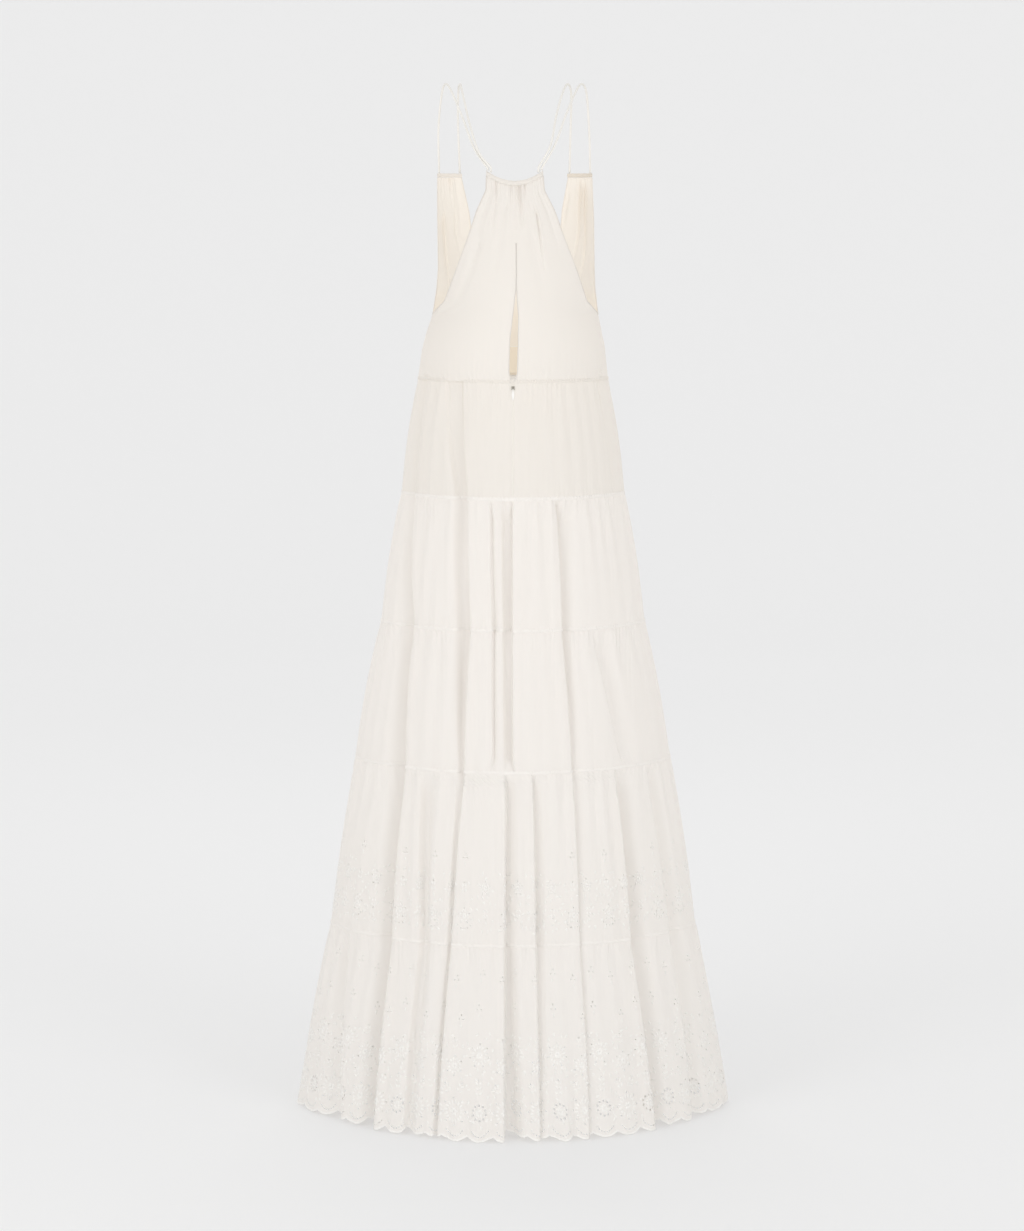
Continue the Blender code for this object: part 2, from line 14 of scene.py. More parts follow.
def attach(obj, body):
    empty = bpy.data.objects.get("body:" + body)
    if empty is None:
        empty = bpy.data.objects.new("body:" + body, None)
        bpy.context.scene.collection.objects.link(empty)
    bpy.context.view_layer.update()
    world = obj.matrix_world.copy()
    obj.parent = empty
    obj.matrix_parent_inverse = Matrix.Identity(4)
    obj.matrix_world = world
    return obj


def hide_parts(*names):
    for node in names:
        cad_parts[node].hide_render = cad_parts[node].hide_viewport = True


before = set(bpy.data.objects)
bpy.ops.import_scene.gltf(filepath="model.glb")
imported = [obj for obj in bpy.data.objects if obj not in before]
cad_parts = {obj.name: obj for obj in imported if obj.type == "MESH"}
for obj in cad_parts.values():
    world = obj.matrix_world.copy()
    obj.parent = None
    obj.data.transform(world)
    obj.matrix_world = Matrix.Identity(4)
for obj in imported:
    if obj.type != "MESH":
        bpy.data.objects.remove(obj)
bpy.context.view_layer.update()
BODY = "dress"

# Cloth and trim
WALL = 0.002
BINDING_WALL = 0.003
SEAM_GAP = 0.0003
CORD_RADIUS = 0.0015
SECTION_POWER = 1.4
SECTION_STEPS = 720

# Heights
NECK_END_Z = -0.1228
NECK_DIP = 0.0140
NECK_BINDING_HEIGHT = 0.0070
FRONT_TOP_Z = -0.1260
FRONT_BINDING_HEIGHT = 0.0060
UNDERARM_Z = -0.3226
WAISTBAND_TOP_Z = -0.3750
WAIST_Z = -0.4150
FLOOR_Z = -1.4712


class Level(NamedTuple):
    """The skirt's section at a seam, with how wide and deep its pleats' troughs are there."""

    z: float
    half_width: float
    half_depth: float
    trough_width: float
    pleat_depth: float


LEVELS = (
    Level(WAIST_Z, 0.1350, 0.0950, 0.0060, 0.0040),
    Level(-0.5780, 0.1590, 0.1120, 0.0080, 0.0125),
    Level(-0.7620, 0.1890, 0.1260, 0.0100, 0.0175),
    Level(-0.9590, 0.2265, 0.1500, 0.0115, 0.0210),
    Level(-1.2020, 0.2640, 0.1720, 0.0130, 0.0240),
    Level(-1.4700, 0.3140, 0.2220, 0.0150, 0.0280),
)
TIERS = len(LEVELS) - 1
PUFF = 0.0030


class Fold(NamedTuple):
    """A recessed pleat: where it starts, how deep and how soft-edged it is, and its two edges.

    Edges are shares of the half width at each level from the first one on, -1 at the left side seam
    and 1 at the right, seen from the back.
    """

    start: int
    strength: float
    left_soft: float  # 0 for a crisp edge that laps over the pleat, 1 for a soft slope
    right_soft: float
    left: tuple
    right: tuple


BACK_FOLDS = (
    Fold(4, 0.6, 1.0, 0.4, (-0.940, -0.860), (-0.900, -0.805)),
    Fold(0, 1.5, 1.0, 0.0, (-0.950, -0.930, -0.850, -0.780, -0.750, -0.700),
         (-0.900, -0.874, -0.754, -0.688, -0.668, -0.633)),
    Fold(3, 0.6, 0.2, 0.8, (-0.586, -0.522, -0.507), (-0.535, -0.478, -0.465)),
    Fold(0, 1.0, 0.4, 0.0, (-0.700, -0.520, -0.439, -0.357, -0.368, -0.367),
         (-0.520, -0.396, -0.322, -0.312, -0.341, -0.342)),
    Fold(1, 0.6, 0.0, 0.8, (-0.207, -0.167, -0.134), (-0.117, -0.114, -0.108)),
    Fold(1, 1.0, 0.5, 0.0, (-0.099, -0.076, -0.050), (0.003, 0.002, 0.004)),
    Fold(3, 1.0, 0.0, 0.7, (-0.050, -0.051, -0.042), (0.004, 0.000, 0.030)),
    Fold(3, 1.0, 0.1, 0.6, (0.125, 0.127, 0.122), (0.178, 0.172, 0.145)),
    Fold(1, 1.0, 0.0, 0.9, (0.378, 0.371, 0.376, 0.368, 0.342),
         (0.500, 0.445, 0.408, 0.385, 0.358)),
    Fold(2, 0.5, 0.4, 1.0, (0.600, 0.700), (0.690, 0.780)),
    Fold(3, 1.0, 0.0, 1.0, (0.643, 0.648, 0.646), (0.720, 0.725, 0.700)),
    Fold(3, 0.6, 0.4, 1.0, (0.847, 0.868, 0.837), (0.900, 0.910, 0.880)),
    Fold(0, 0.7, 0.2, 1.0, (0.880, 0.900), (0.930, 0.940)),
)
FRONT_FOLDS = (
    Fold(3, 0.6, 0.8, 0.2, (-0.930, -0.925, -0.920), (-0.890, -0.885, -0.880)),
    Fold(4, 0.6, 0.2, 0.8, (-0.840, -0.820), (-0.800, -0.790)),
    Fold(1, 0.8, 0.0, 1.0, (-0.820, -0.780, -0.740, -0.720, -0.710),
         (-0.730, -0.700, -0.670, -0.660, -0.660)),
    Fold(3, 0.7, 0.6, 0.0, (-0.520, -0.540, -0.515), (-0.465, -0.485, -0.470)),
    Fold(0, 0.9, 0.0, 0.7, (-0.500, -0.430, -0.350, -0.320, -0.305, -0.285),
         (-0.380, -0.350, -0.290, -0.270, -0.270, -0.250)),
    Fold(1, 0.7, 0.3, 0.0, (-0.140, -0.110, -0.100, -0.080, -0.055),
         (-0.050, -0.040, -0.045, -0.035, -0.020)),
    Fold(3, 0.8, 0.0, 0.6, (0.120, 0.155, 0.178), (0.170, 0.190, 0.205)),
    Fold(0, 0.9, 0.8, 0.0, (0.350, 0.320, 0.350, 0.345, 0.365, 0.380),
         (0.460, 0.410, 0.420, 0.400, 0.410, 0.415)),
    Fold(3, 0.6, 0.2, 0.9, (0.550, 0.575, 0.585), (0.600, 0.620, 0.620)),
    Fold(1, 0.8, 0.9, 0.0, (0.660, 0.710, 0.710, 0.735, 0.755), (0.760, 0.790, 0.780, 0.795, 0.800)),
    Fold(3, 0.7, 0.3, 0.8, (0.880, 0.885, 0.875), (0.920, 0.925, 0.910)),
)
OPENING_RATE = 6.0  # a pleat opens over a sixth of a tier, below the seam that it starts from
BOX_SHARE = 0.84  # of a pleat's depth, the part that is a flat-bottomed box; the rest is a soft trough
TROUGH_WIDTHS = 2.0
CRISP_EDGE = 0.0015
SOFT_EDGE = 0.0080
SOFTEST_LAP = 1.4  # an edge laps over its pleat the less the softer it is
LAP_REACH = 0.0032
FULL_LAP_DEPTH = 0.010
LAP_OUT = 0.0030
LAP_SPREAD = 0.0030
ROLL_SHARE = 0.10
ROLL_OUT = 0.0070
GROOVE_DEPTH = 0.0022
GROOVE_SHARE = 0.6
GROOVE_WIDTH = 0.0018
GROOVE_IN = 0.0016
DEEPEST_FOR_WIDTH = 0.85
HEM_LIFT = 0.35

# The centre-back seam below the zip
CENTRE_SEAM_DEPTH = 0.0012
CENTRE_SEAM_WIDTH = 0.0016


class Gather(NamedTuple):
    """How gathers change below their seam, in metres but for what stays of them all the way down."""

    reach: float
    start: float
    rest: float
    drift: float


FINE = Gather(0.020, 0.003, 0.10, 0.05)
BROAD = Gather(0.110, 0.012, 0.12, 0.10)
BROAD_WAVES = (32, 34, 36, 38, 40)
FINE_SPACING = 0.0085
FINE_DEPTHS = (0.0004, 0.0007, 0.0008, 0.0008, 0.0008)
BROAD_DEPTHS = (0.0008, 0.0015, 0.0015, 0.0016, 0.0016)
PUCKER_DEPTH = 0.0004
PUCKER_REACH = 0.009
HEM_FLUTTER = 0.0022
FLUTTER_REACH = 0.070
FLUTTER_WAVES = 46.0
FLUTTER_DRIFT = 0.12
RIPPLE_TERMS = 14

# The welt at a seam, in metres: its section goes up by a rise and out by a lift
WELT_STEPS = 900
WELT_PROFILE = (
    (-0.0026, 0.0001), (-0.0016, 0.0007), (0.0002, 0.0009), (0.0018, 0.0006), (0.0028, 0.0001)
)
WELT_PUCKER_OUT = 0.00025
WELT_PUCKER_UP = 0.0002

TIER_COLUMNS = 420
FEWEST_SHEET_COLUMNS = 260
TIER_ROWS = 52
SHEET_COLUMNS = 900
SHEET_ROWS = 90
ROWS_TOWARDS_TOP = 0.45
ROWS_POWER = 2.2


class Form(NamedTuple):
    """The figure that the bodice lies on, at one height."""

    z: float
    centre: float
    half_width: float
    back_depth: float
    front_depth: float


FIGURE = (
    Form(-0.1200, 0.0022, 0.1400, 0.0880, 0.0880),
    Form(-0.1900, 0.0038, 0.1380, 0.1000, 0.1050),
    Form(-0.2600, 0.0048, 0.1280, 0.1040, 0.1280),
    Form(-0.3000, 0.0040, 0.1190, 0.1040, 0.1320),
    Form(UNDERARM_Z, 0.0035, 0.1170, 0.1020, 0.1280),
    Form(-0.3520, 0.0015, 0.1250, 0.0995, 0.1180),
    Form(WAISTBAND_TOP_Z, 0.0008, 0.1300, 0.0975, 0.1080),
    Form(WAIST_Z, 0.0000, 0.1350, 0.0950, 0.0950),
)


class Edge(NamedTuple):
    """Half the distance between the left and right panels' edges at one height."""

    z: float
    half: float


BACK_ARMHOLE = (
    Edge(-0.1228, 0.0389),
    Edge(-0.1500, 0.0405),
    Edge(-0.1785, 0.0542),
    Edge(-0.2060, 0.0637),
    Edge(-0.2620, 0.0850),
    Edge(-0.3040, 0.1000),
    Edge(UNDERARM_Z, 0.1170),
)
FRONT_ARMHOLE = (
    Edge(-0.1260, 0.1100),
    Edge(-0.1900, 0.1115),
    Edge(-0.2600, 0.1115),
    Edge(-0.2900, 0.1130),
    Edge(UNDERARM_Z, 0.1170),
)
FRONT_NECK = (
    Edge(-0.1260, 0.0776),
    Edge(-0.1800, 0.0670),
    Edge(-0.2110, 0.0640),
    Edge(-0.2500, 0.0440),
    Edge(-0.2680, 0.0220),
    Edge(-0.2760, 0.0000),
)
BACK_SLIT = (
    Edge(-0.2800, 0.0000),
    Edge(-0.3260, 0.0043),
    Edge(-0.3600, 0.0060),
    Edge(-0.4020, 0.0060),
    Edge(-0.4110, 0.0040),
    Edge(WAIST_Z, 0.0012),
)


class Line(NamedTuple):
    """A soft fold of a bodice panel."""

    share: float  # across the panel, 0 at its inner edge and 1 at its outer edge
    drift: float  # how far it moves across the panel by its end
    start: float  # how far below the panel's top it starts
    length: float
    width: float
    depth: float


BACK_LEFT_LINES = (
    Line(0.68, -0.22, 0.000, 0.090, 0.0014, 0.0018),
    Line(0.12, 0.02, 0.000, 0.040, 0.0014, 0.0018),
    Line(0.30, 0.04, 0.030, 0.120, 0.0040, 0.0014),
    Line(0.86, -0.10, 0.010, 0.110, 0.0036, 0.0016),
    Line(0.72, 0.05, 0.090, 0.120, 0.0050, 0.0014),
)
BACK_RIGHT_LINES = (
    Line(0.18, -0.03, 0.000, 0.070, 0.0016, 0.0034),
    Line(0.12, 0.01, 0.000, 0.030, 0.0012, 0.0020),
    Line(0.34, 0.01, 0.000, 0.026, 0.0012, 0.0022),
    Line(0.53, -0.10, 0.048, 0.085, 0.0011, 0.0026),
    Line(0.86, -0.06, 0.020, 0.090, 0.0034, 0.0014),
    Line(0.34, 0.03, 0.080, 0.110, 0.0050, 0.0012),
)
FRONT_LEFT_LINES = (
    Line(0.45, 0.00, 0.000, 0.022, 0.0014, 0.0030),
    Line(0.22, 0.10, 0.000, 0.130, 0.0036, 0.0016),
    Line(0.40, 0.04, 0.052, 0.075, 0.0020, 0.0020),
    Line(0.76, 0.02, 0.058, 0.110, 0.0012, 0.0088),
)
FRONT_RIGHT_LINES = (
    Line(0.10, -0.06, 0.030, 0.050, 0.0022, 0.0026),
    Line(0.48, 0.02, 0.010, 0.110, 0.0011, 0.0072),
    Line(0.68, 0.04, 0.014, 0.135, 0.0011, 0.0088),
    Line(0.90, 0.03, 0.120, 0.050, 0.0020, 0.0024),
)
LINE_ONSET = 0.003
LINE_WIDENING = 0.8
LINE_DEPTH_SHARE = 1.4
LINE_FADE_POWER = 0.7
RIDGE_SHARE = 0.30
RIDGE_AWAY = 2.2
RIDGE_SPREAD = 1.4


class Crease(NamedTuple):
    """A short level crease of the back bodice above its waist seam."""

    side: float
    share: float
    half_length: float
    rise: float
    depth: float


WAIST_CREASES = (
    Crease(-1.0, 0.735, 0.0110, 0.0044, 0.0026),
    Crease(1.0, 0.765, 0.0070, 0.0044, 0.0028),
    Crease(1.0, 0.745, 0.0035, 0.0125, 0.0018),
)
CREASE_WIDTH = 0.0013
NECK_GATHER_SPACING = 0.0045
NECK_GATHER_DEPTH = 0.0005
NECK_GATHER_REACH = 0.030
NECK_GATHER_DRIFT = 6.0
NECK_DIP_REACH = 0.09
BACK_GATHERED = 0.037
FRONT_GATHERED = 0.034
WAIST_GATHER_DEPTH = 0.0003
WAIST_GATHER_REACH = 0.020
WAIST_GATHER_SPACING = 0.009
EDGE_ROLL_RADIUS = 0.0007
EDGE_ROLL_SIDES = 6
ARMHOLE_END_Z = UNDERARM_Z - 0.002
SLIT_HEM_TOP = -0.2224
BODICE_COLUMNS = 190
BODICE_SHEET_COLUMNS = 240
# Rows as shares of a panel's height, closer together above the waist; every second one is kept
LOW_LEVEL = 0.93
BODICE_LEVELS = np.concatenate(
    [np.linspace(0.0, LOW_LEVEL, 120, endpoint=False), np.linspace(LOW_LEVEL, 1.0, 41)]
)
# A binding's section: shares of its height, and how far in as a share of its wall
BAND_PROFILE = (
    (0.00, -0.5), (0.06, -0.1), (0.30, 0.10), (0.70, 0.10), (0.94, -0.1),
    (1.00, -0.5), (0.94, -0.9), (0.70, -1.05), (0.30, -1.05), (0.06, -0.9),
)
BAND_DEPTH = 0.98
NECK_BAND_STEPS = 121
FRONT_BAND_STEPS = 81
WAISTBAND_STEPS = 201
WAISTBAND_ROWS = 12


class Place(NamedTuple):
    """A place that a strap passes over."""

    x: float
    y: float
    z: float


LEFT_INNER_STRAP = (
    Place(-0.0472, -0.0800, -0.0980),
    Place(-0.0599, -0.0580, -0.0600),
    Place(-0.0712, -0.0240, -0.0130),
    Place(-0.0746, 0.0000, -0.0016),
    Place(-0.0775, 0.0260, -0.0135),
    Place(-0.0784, 0.0540, -0.0560),
)
LEFT_OUTER_STRAP = (
    Place(-0.0540, -0.0740, -0.0920),
    Place(-0.0710, -0.0500, -0.0480),
    Place(-0.0860, -0.0230, -0.0130),
    Place(-0.0943, 0.0000, -0.0015),
    Place(-0.1005, 0.0220, -0.0130),
    Place(-0.1060, 0.0410, -0.0620),
)
RIGHT_INNER_STRAP = (
    Place(0.0520, -0.0760, -0.0880),
    Place(0.0600, -0.0500, -0.0480),
    Place(0.0700, -0.0220, -0.0130),
    Place(0.0772, 0.0000, -0.0016),
    Place(0.0825, 0.0260, -0.0150),
    Place(0.0822, 0.0540, -0.0574),
)
RIGHT_OUTER_STRAP = (
    Place(0.0580, -0.0730, -0.0880),
    Place(0.0740, -0.0480, -0.0450),
    Place(0.0880, -0.0220, -0.0130),
    Place(0.0964, 0.0000, -0.0015),
    Place(0.1040, 0.0220, -0.0140),
    Place(0.1085, 0.0410, -0.0700),
)
STRAP_POINTS = 150
STRAP_SIDES = 12
TUBE_LEAN = (0.31, 0.22, 0.92)
INNER_STRAP_RISE = 0.0070
OUTER_STRAP_RISE = 0.0030
STRAP_INSET = 0.0016
STRAP_SPACING = 0.0044

# Embroidery, in flat cloth
REPEAT = 0.084
REPEATS = 13
SCALLOPS_PER_REPEAT = 2
SCALLOP_DEPTH = 0.0060
EYELET_RADIUS = 0.0014
SMALL_EYELET = 0.0012
LARGE_EYELET = 0.0018
EYELET_SIDES = 10
RIM_WIDTH = 0.0009
RIM_HEIGHT = 0.0005
THREAD_LIFT = 0.00005
PETAL_HEIGHT = 0.0011
LEAF_LENGTH = 0.0064
LEAF_WIDTH = 0.0030
GRID_ACROSS = 0.0024
GRID_DOWN = 0.0052
EYELET_CLEARANCE = 0.0007
INSIDE_SHARE = 0.96
PETAL_STEPS = 5
EDGE_BAND = 0.0024
STEPS_PER_SCALLOP = 14
# The worked edge across it: how far in as a share of its band, and its height over the cloth
EDGE_PROFILE = ((0.0, THREAD_LIFT), (0.25, 0.00035), (0.75, 0.00035), (1.0, THREAD_LIFT))


class Below(NamedTuple):
    """Where a colour turns into another one, and that colour."""

    top: float
    bottom: float
    colour: tuple


class Inner(NamedTuple):
    """The inner side of a cloth, painted as warm shade: its colour, its lower part, and what comes through
    it.
    """

    colour: tuple
    low: Below
    through: tuple
    share: float


# A voile's colours: its threads where they are light and dark, and what comes through them
VOILE = ((0.925, 0.902, 0.878), (0.905, 0.877, 0.848), (0.965, 0.938, 0.900))
FRONT_VOILE = ((0.888, 0.864, 0.831), (0.870, 0.840, 0.802), (0.955, 0.924, 0.880))
# Painted shade: the front's inner side, seen through the armholes and the slit, is painted warmer and orange
# towards the waist, with more warm light coming through, for the shaded inside of the dress
FRONT_INNER_PAINTED_SHADE = Inner(
    (0.955, 0.900, 0.825), Below(-0.285, -0.330, (0.95, 0.81, 0.61)), (0.985, 0.92, 0.83), 0.62
)
# Painted shade: the waistband's inner side, seen through the slit, is painted orange, with more warm light
# coming through, for the shaded inside of the dress
WAISTBAND_INNER_PAINTED_SHADE = Inner(
    (0.93, 0.825, 0.67), Below(-0.360, -0.370, (0.93, 0.825, 0.67)), (0.97, 0.86, 0.70), 0.55
)

# Cloth, thread and metal: noise is scale, detail and roughness, a wave is scale, distortion and
# detail after any direction, and a bump is strength and distance
SLUB = (55.0, 4.0, 0.6)
SLUB_STRETCH = (1.0, 1.0, 0.12)
CRUMPLE = (38.0, 5.0, 0.55)
CRUMPLE_BUMP = (0.35, 0.0018)
WEAVE = (420.0, 1.2, 1.0)
WEAVE_BUMP = (0.25, 0.0002)
STITCH_WAVE = ("X", 900.0, 0.6, 1.0)
STITCH_BUMP = (0.5, 0.0003)
STITCH_MOTTLE = (260.0, 3.0)
TWIST_WAVE = ("DIAGONAL", 260.0, 1.5, 2.0)
TWIST_BUMP = (0.35, 0.0004)
TWIST_MOTTLE = (120.0, 3.0)
WEAR = (900.0, 4.0)
WEAR_BUMP = (0.1, 0.0001)
WORN_ROUGHNESS = (0.25, 0.5)

# Floor and wall: the glow evens out what light they get, from near the middle to far out; being lowest near
# the middle, it also paints the floor darker under the dress, a painted shadow
STAGE_GREY = 0.59
STAGE_GLOW_AND_SHADOW = (0.279, 0.358)
STAGE_REACH = (0.5, 4.6)
STAGE_RADIUS = 9.0
STAGE_CURVE = 3.5
STAGE_TOP = 3.2
STAGE_SIDES = 128
STAGE_CURVE_STEPS = 24

# Camera and light
WORLD_STRENGTH = 0.755
LIGHT_SPREAD = math.radians(90.0)
SIDE_LIGHT = (2.4, 1.8)
DRESS_MIDDLE = (0.0, 0.0, -0.75)
CAMERA_DISTANCE = 4.82
CAMERA_Z = -0.15485
CAMERA_PITCH = math.radians(7.1)
CAMERA_X = -0.00142
LENS = 99.0


def column(rows, name):
    """One column of a table, from the lowest row to the highest."""
    return [getattr(row, name) for row in sorted(rows, key=lambda row: row.z)]


def read(rows, name, z):
    """A table's column at any height."""
    return np.interp(z, column(rows, "z"), column(rows, name))


def section_curve(turn, half_width, half_depth):
    """A point of a rounded section: turn 0 is the centre back, and a quarter turn is the side."""
    lean = np.cos(turn)
    x = half_width * np.sin(turn)
    y = -half_depth * np.sign(lean) * np.abs(lean) ** SECTION_POWER
    return x, y


def section_normal(turn, half_width, half_depth):
    """The outward horizontal normal of that section, as x and y."""
    lean = np.cos(turn)
    slope = half_depth * SECTION_POWER * np.abs(lean) ** (SECTION_POWER - 1.0)
    x = slope * np.sin(turn)
    y = -half_width * lean
    size = np.hypot(x, y)
    return x / size, y / size


def running_share(half_width, half_depth):
    """The turns round a section, how far along its edge each lies, and the edge's length."""
    turn = np.linspace(-math.pi, math.pi, SECTION_STEPS + 1)
    x, y = section_curve(turn, half_width, half_depth)
    run = np.concatenate([[0.0], np.cumsum(np.hypot(np.diff(x), np.diff(y)))])
    return turn, run / run[-1] - 0.5, run[-1]


def fold_share(place, on_front):
    """Where a fold lies along the section's edge, from its share of the half width."""
    turn, share, _ = running_share(LEVELS[1].half_width, LEVELS[1].half_depth)
    past_side = max(0.0, abs(place) - 1.0)
    angle = math.pi - math.asin(1.0 - past_side) if past_side else math.asin(abs(place))
    back = np.interp(math.copysign(angle, place), turn, share)
    return math.copysign(0.5, back) - back if on_front else back


def level_number(z):
    """How many levels down a height is, with the part between two levels."""
    heights = [level.z for level in reversed(LEVELS)]
    return float(np.interp(z, heights, range(TIERS, -1, -1)))


FOLD_SHARES = [
    (fold, -1.0 if on_front else 1.0,
     [fold_share(place, on_front) for place in fold.left],
     [fold_share(place, on_front) for place in fold.right])
    for folds, on_front in ((BACK_FOLDS, False), (FRONT_FOLDS, True))
    for fold in folds
]


class Pleat(NamedTuple):
    """A fold at one height: its edges as shares along the section, from low to high."""

    low: float
    high: float
    strength: float
    low_soft: float
    high_soft: float


def fold_places(z):
    """Every fold at one height."""
    number = level_number(z)
    found = []
    for fold, facing, lefts, rights in FOLD_SHARES:
        last = fold.start + len(fold.left) - 1
        fade = min(1.0, max(0.0, OPENING_RATE * (number - fold.start))) if fold.start else 1.0
        if last < TIERS:
            fade *= min(1.0, max(0.0, OPENING_RATE * (last - number)))
        if fade <= 0.0:
            continue
        steps = range(fold.start, last + 1)
        edges = [float(np.interp(number, steps, shares)) for shares in (lefts, rights)]
        softs = [fold.left_soft, fold.right_soft]
        if facing < 0.0:
            edges, softs = edges[::-1], softs[::-1]
        found.append(Pleat(*edges, fold.strength * fade, *softs))
    return found


def step_in(distance, soft):
    """A slope from 0 to 1 at a pleat's edge, steep when it is crisp."""
    width = CRISP_EDGE + (SOFT_EDGE - CRISP_EDGE) * soft
    return 0.5 + 0.5 * np.tanh(distance / width)


def bump(distance, width):
    return np.exp(-((distance / width) ** 2))


def pleat_shape(at, length, pleat, depth, width):
    """How deep a pleat is across it, and how far its lapping edges move along the section."""
    middle = (pleat.low + pleat.high + (pleat.high < pleat.low)) / 2.0
    half = ((pleat.high - pleat.low) % 1.0) * length / 2.0
    away = ((at - middle + 0.5) % 1.0 - 0.5) * length
    from_low, from_high = away + half, half - away
    box = step_in(from_low, pleat.low_soft) * step_in(from_high, pleat.high_soft)
    trough = bump(away, TROUGH_WIDTHS * width + half)
    box_depth = min(BOX_SHARE * depth, DEEPEST_FOR_WIDTH * 2.0 * half)
    deep = box_depth * box + (1.0 - BOX_SHARE) * depth * trough
    slide = np.zeros_like(at)
    reach = LAP_REACH * min(1.0, depth / FULL_LAP_DEPTH)
    for distance, soft, side in ((from_low, pleat.low_soft, 1.0), (from_high, pleat.high_soft, -1.0)):
        crisp = max(0.0, 1.0 - SOFTEST_LAP * soft)
        slide += side * crisp * reach * bump(distance + LAP_OUT, LAP_SPREAD)
        deep -= ROLL_SHARE * crisp * depth * bump(distance + ROLL_OUT, ROLL_OUT)
        groove = min(GROOVE_DEPTH, GROOVE_SHARE * depth)
        deep += groove * crisp * bump(distance - GROOVE_IN, GROOVE_WIDTH)
    return deep, slide


def ripple(at, waves, seed, drift):
    """Uneven waves round the skirt: about so many in all, between -1 and 1, changing with drift."""
    draw = np.random.default_rng(seed)
    total = np.zeros_like(at)
    for _ in range(RIPPLE_TERMS):
        number = int(round(waves * draw.uniform(0.72, 1.35)))
        phase = draw.uniform(0.0, 2.0 * math.pi) + drift * draw.uniform(-1.6, 1.6)
        total += np.cos(2.0 * math.pi * number * at + phase)
    return total / math.sqrt(RIPPLE_TERMS)


def gather_share(gather, drop):
    """How much of a gather's depth is left below its seam."""
    return math.exp(-drop / gather.reach) * (1.0 - math.exp(-drop / gather.start)) + gather.rest


def gather_depth(number, drop, left, at, length):
    """How deep a tier's gathers are at one height, with the flutter of the hem."""
    fine_waves = length / FINE_SPACING
    fine = ripple(at, fine_waves, 11 + number, drop / FINE.drift)
    broad = ripple(at, BROAD_WAVES[number], 31 + number, drop / BROAD.drift)
    depth = FINE_DEPTHS[number] * gather_share(FINE, drop) * fine
    depth += BROAD_DEPTHS[number] * gather_share(BROAD, drop) * broad
    if number < TIERS - 1:
        depth += PUCKER_DEPTH * math.exp(-left / PUCKER_REACH) * ripple(at, fine_waves, 51 + number, 0.0)
    else:
        flutter = ripple(at, FLUTTER_WAVES, 71, left / FLUTTER_DRIFT)
        depth += HEM_FLUTTER * math.exp(-left / FLUTTER_REACH) * flutter
    return depth


def skirt_row(number, z, at, with_gathers=True):
    """The skirt's points at one height, for shares along its edge."""
    height = LEVELS[number].z - LEVELS[number + 1].z
    drop = LEVELS[number].z - z
    puff = PUFF * math.sin(math.pi * drop / height)
    half_width = read(LEVELS, "half_width", z) + puff
    half_depth = read(LEVELS, "half_depth", z) + puff
    turn, share, length = running_share(half_width, half_depth)
    wrapped = (at + 0.5) % 1.0 - 0.5
    turns = np.interp(wrapped, share, turn)
    x, y = section_curve(turns, half_width, half_depth)
    normal_x, normal_y = section_normal(turns, half_width, half_depth)
    width = read(LEVELS, "trough_width", z)
    deep = float(read(LEVELS, "pleat_depth", z))
    depth = np.zeros_like(at)
    slide = np.zeros_like(at)
    for pleat in fold_places(z):
        pleat_depth, pleat_slide = pleat_shape(wrapped, length, pleat, pleat.strength * deep, width)
        depth += pleat_depth
        slide += pleat_slide
    if number == 0:
        depth += CENTRE_SEAM_DEPTH * bump(wrapped * length, CENTRE_SEAM_WIDTH)
    if with_gathers:
        depth += gather_depth(number, drop, height - drop, wrapped, length)
    kept = 1.0 - depth / np.hypot(x, y)
    x, y = x * kept - normal_y * slide, y * kept + normal_x * slide
    lift = HEM_LIFT * (drop / height) ** 3 if number == TIERS - 1 else 0.0
    return np.stack([x, y, z + lift * np.maximum(0.0, depth)], axis=1)


def even_run(points, count):
    """Points along the same line, evenly spaced."""
    steps = np.linalg.norm(np.diff(points, axis=0), axis=1)
    run = np.concatenate([[0.0], np.cumsum(steps)])
    at = np.linspace(0.0, run[-1], count)
    return np.stack([np.interp(at, run, points[:, k]) for k in range(3)], axis=1), run[-1]


class Sheet:
    """A folded sheet: a grid of points, read at any share across and any drop from its top."""

    def __init__(self, grid, drops, widths):
        self.grid = grid
        self.drops = np.array(drops)
        self.widths = np.array(widths)
        across = np.gradient(grid, axis=1)
        down = np.gradient(grid, axis=0)
        normals = np.cross(across, down)
        size = np.linalg.norm(normals, axis=2, keepdims=True)
        self.normals = -normals / np.maximum(size, 1e-12)

    def read(self, values, share, drop):
        rows, columns = values.shape[:2]
        row = np.interp(drop, self.drops, np.arange(rows))
        place = np.clip(share, 0.0, 1.0) * (columns - 1)
        r0 = np.minimum(row.astype(int), rows - 2)
        c0 = np.minimum(place.astype(int), columns - 2)
        r, c = (row - r0)[:, None], (place - c0)[:, None]
        upper = values[r0, c0] * (1 - c) + values[r0, c0 + 1] * c
        lower = values[r0 + 1, c0] * (1 - c) + values[r0 + 1, c0 + 1] * c
        return upper * (1 - r) + lower * r

    def at(self, share, drop, lift=0.0):
        share = np.asarray(share, float)
        drop = np.asarray(drop, float)
        points = self.read(self.grid, share, drop)
        if np.ndim(lift) or lift:
            normals = self.read(self.normals, share, drop)
            normals /= np.maximum(np.linalg.norm(normals, axis=1, keepdims=True), 1e-12)
            points = points + normals * np.reshape(lift, (-1, 1))
        return points


def tier_drops(number, rows):
    """How far down each row of a tier is, closer together near its gathered top."""
    height = LEVELS[number].z - LEVELS[number + 1].z
    share = np.linspace(0.0, 1.0, rows + 1)
    share = (1.0 - ROWS_TOWARDS_TOP) * share + ROWS_TOWARDS_TOP * share**ROWS_POWER
    low = height if number == TIERS - 1 else height - SEAM_GAP / 2.0
    return SEAM_GAP / 2.0 + share * (low - SEAM_GAP / 2.0)


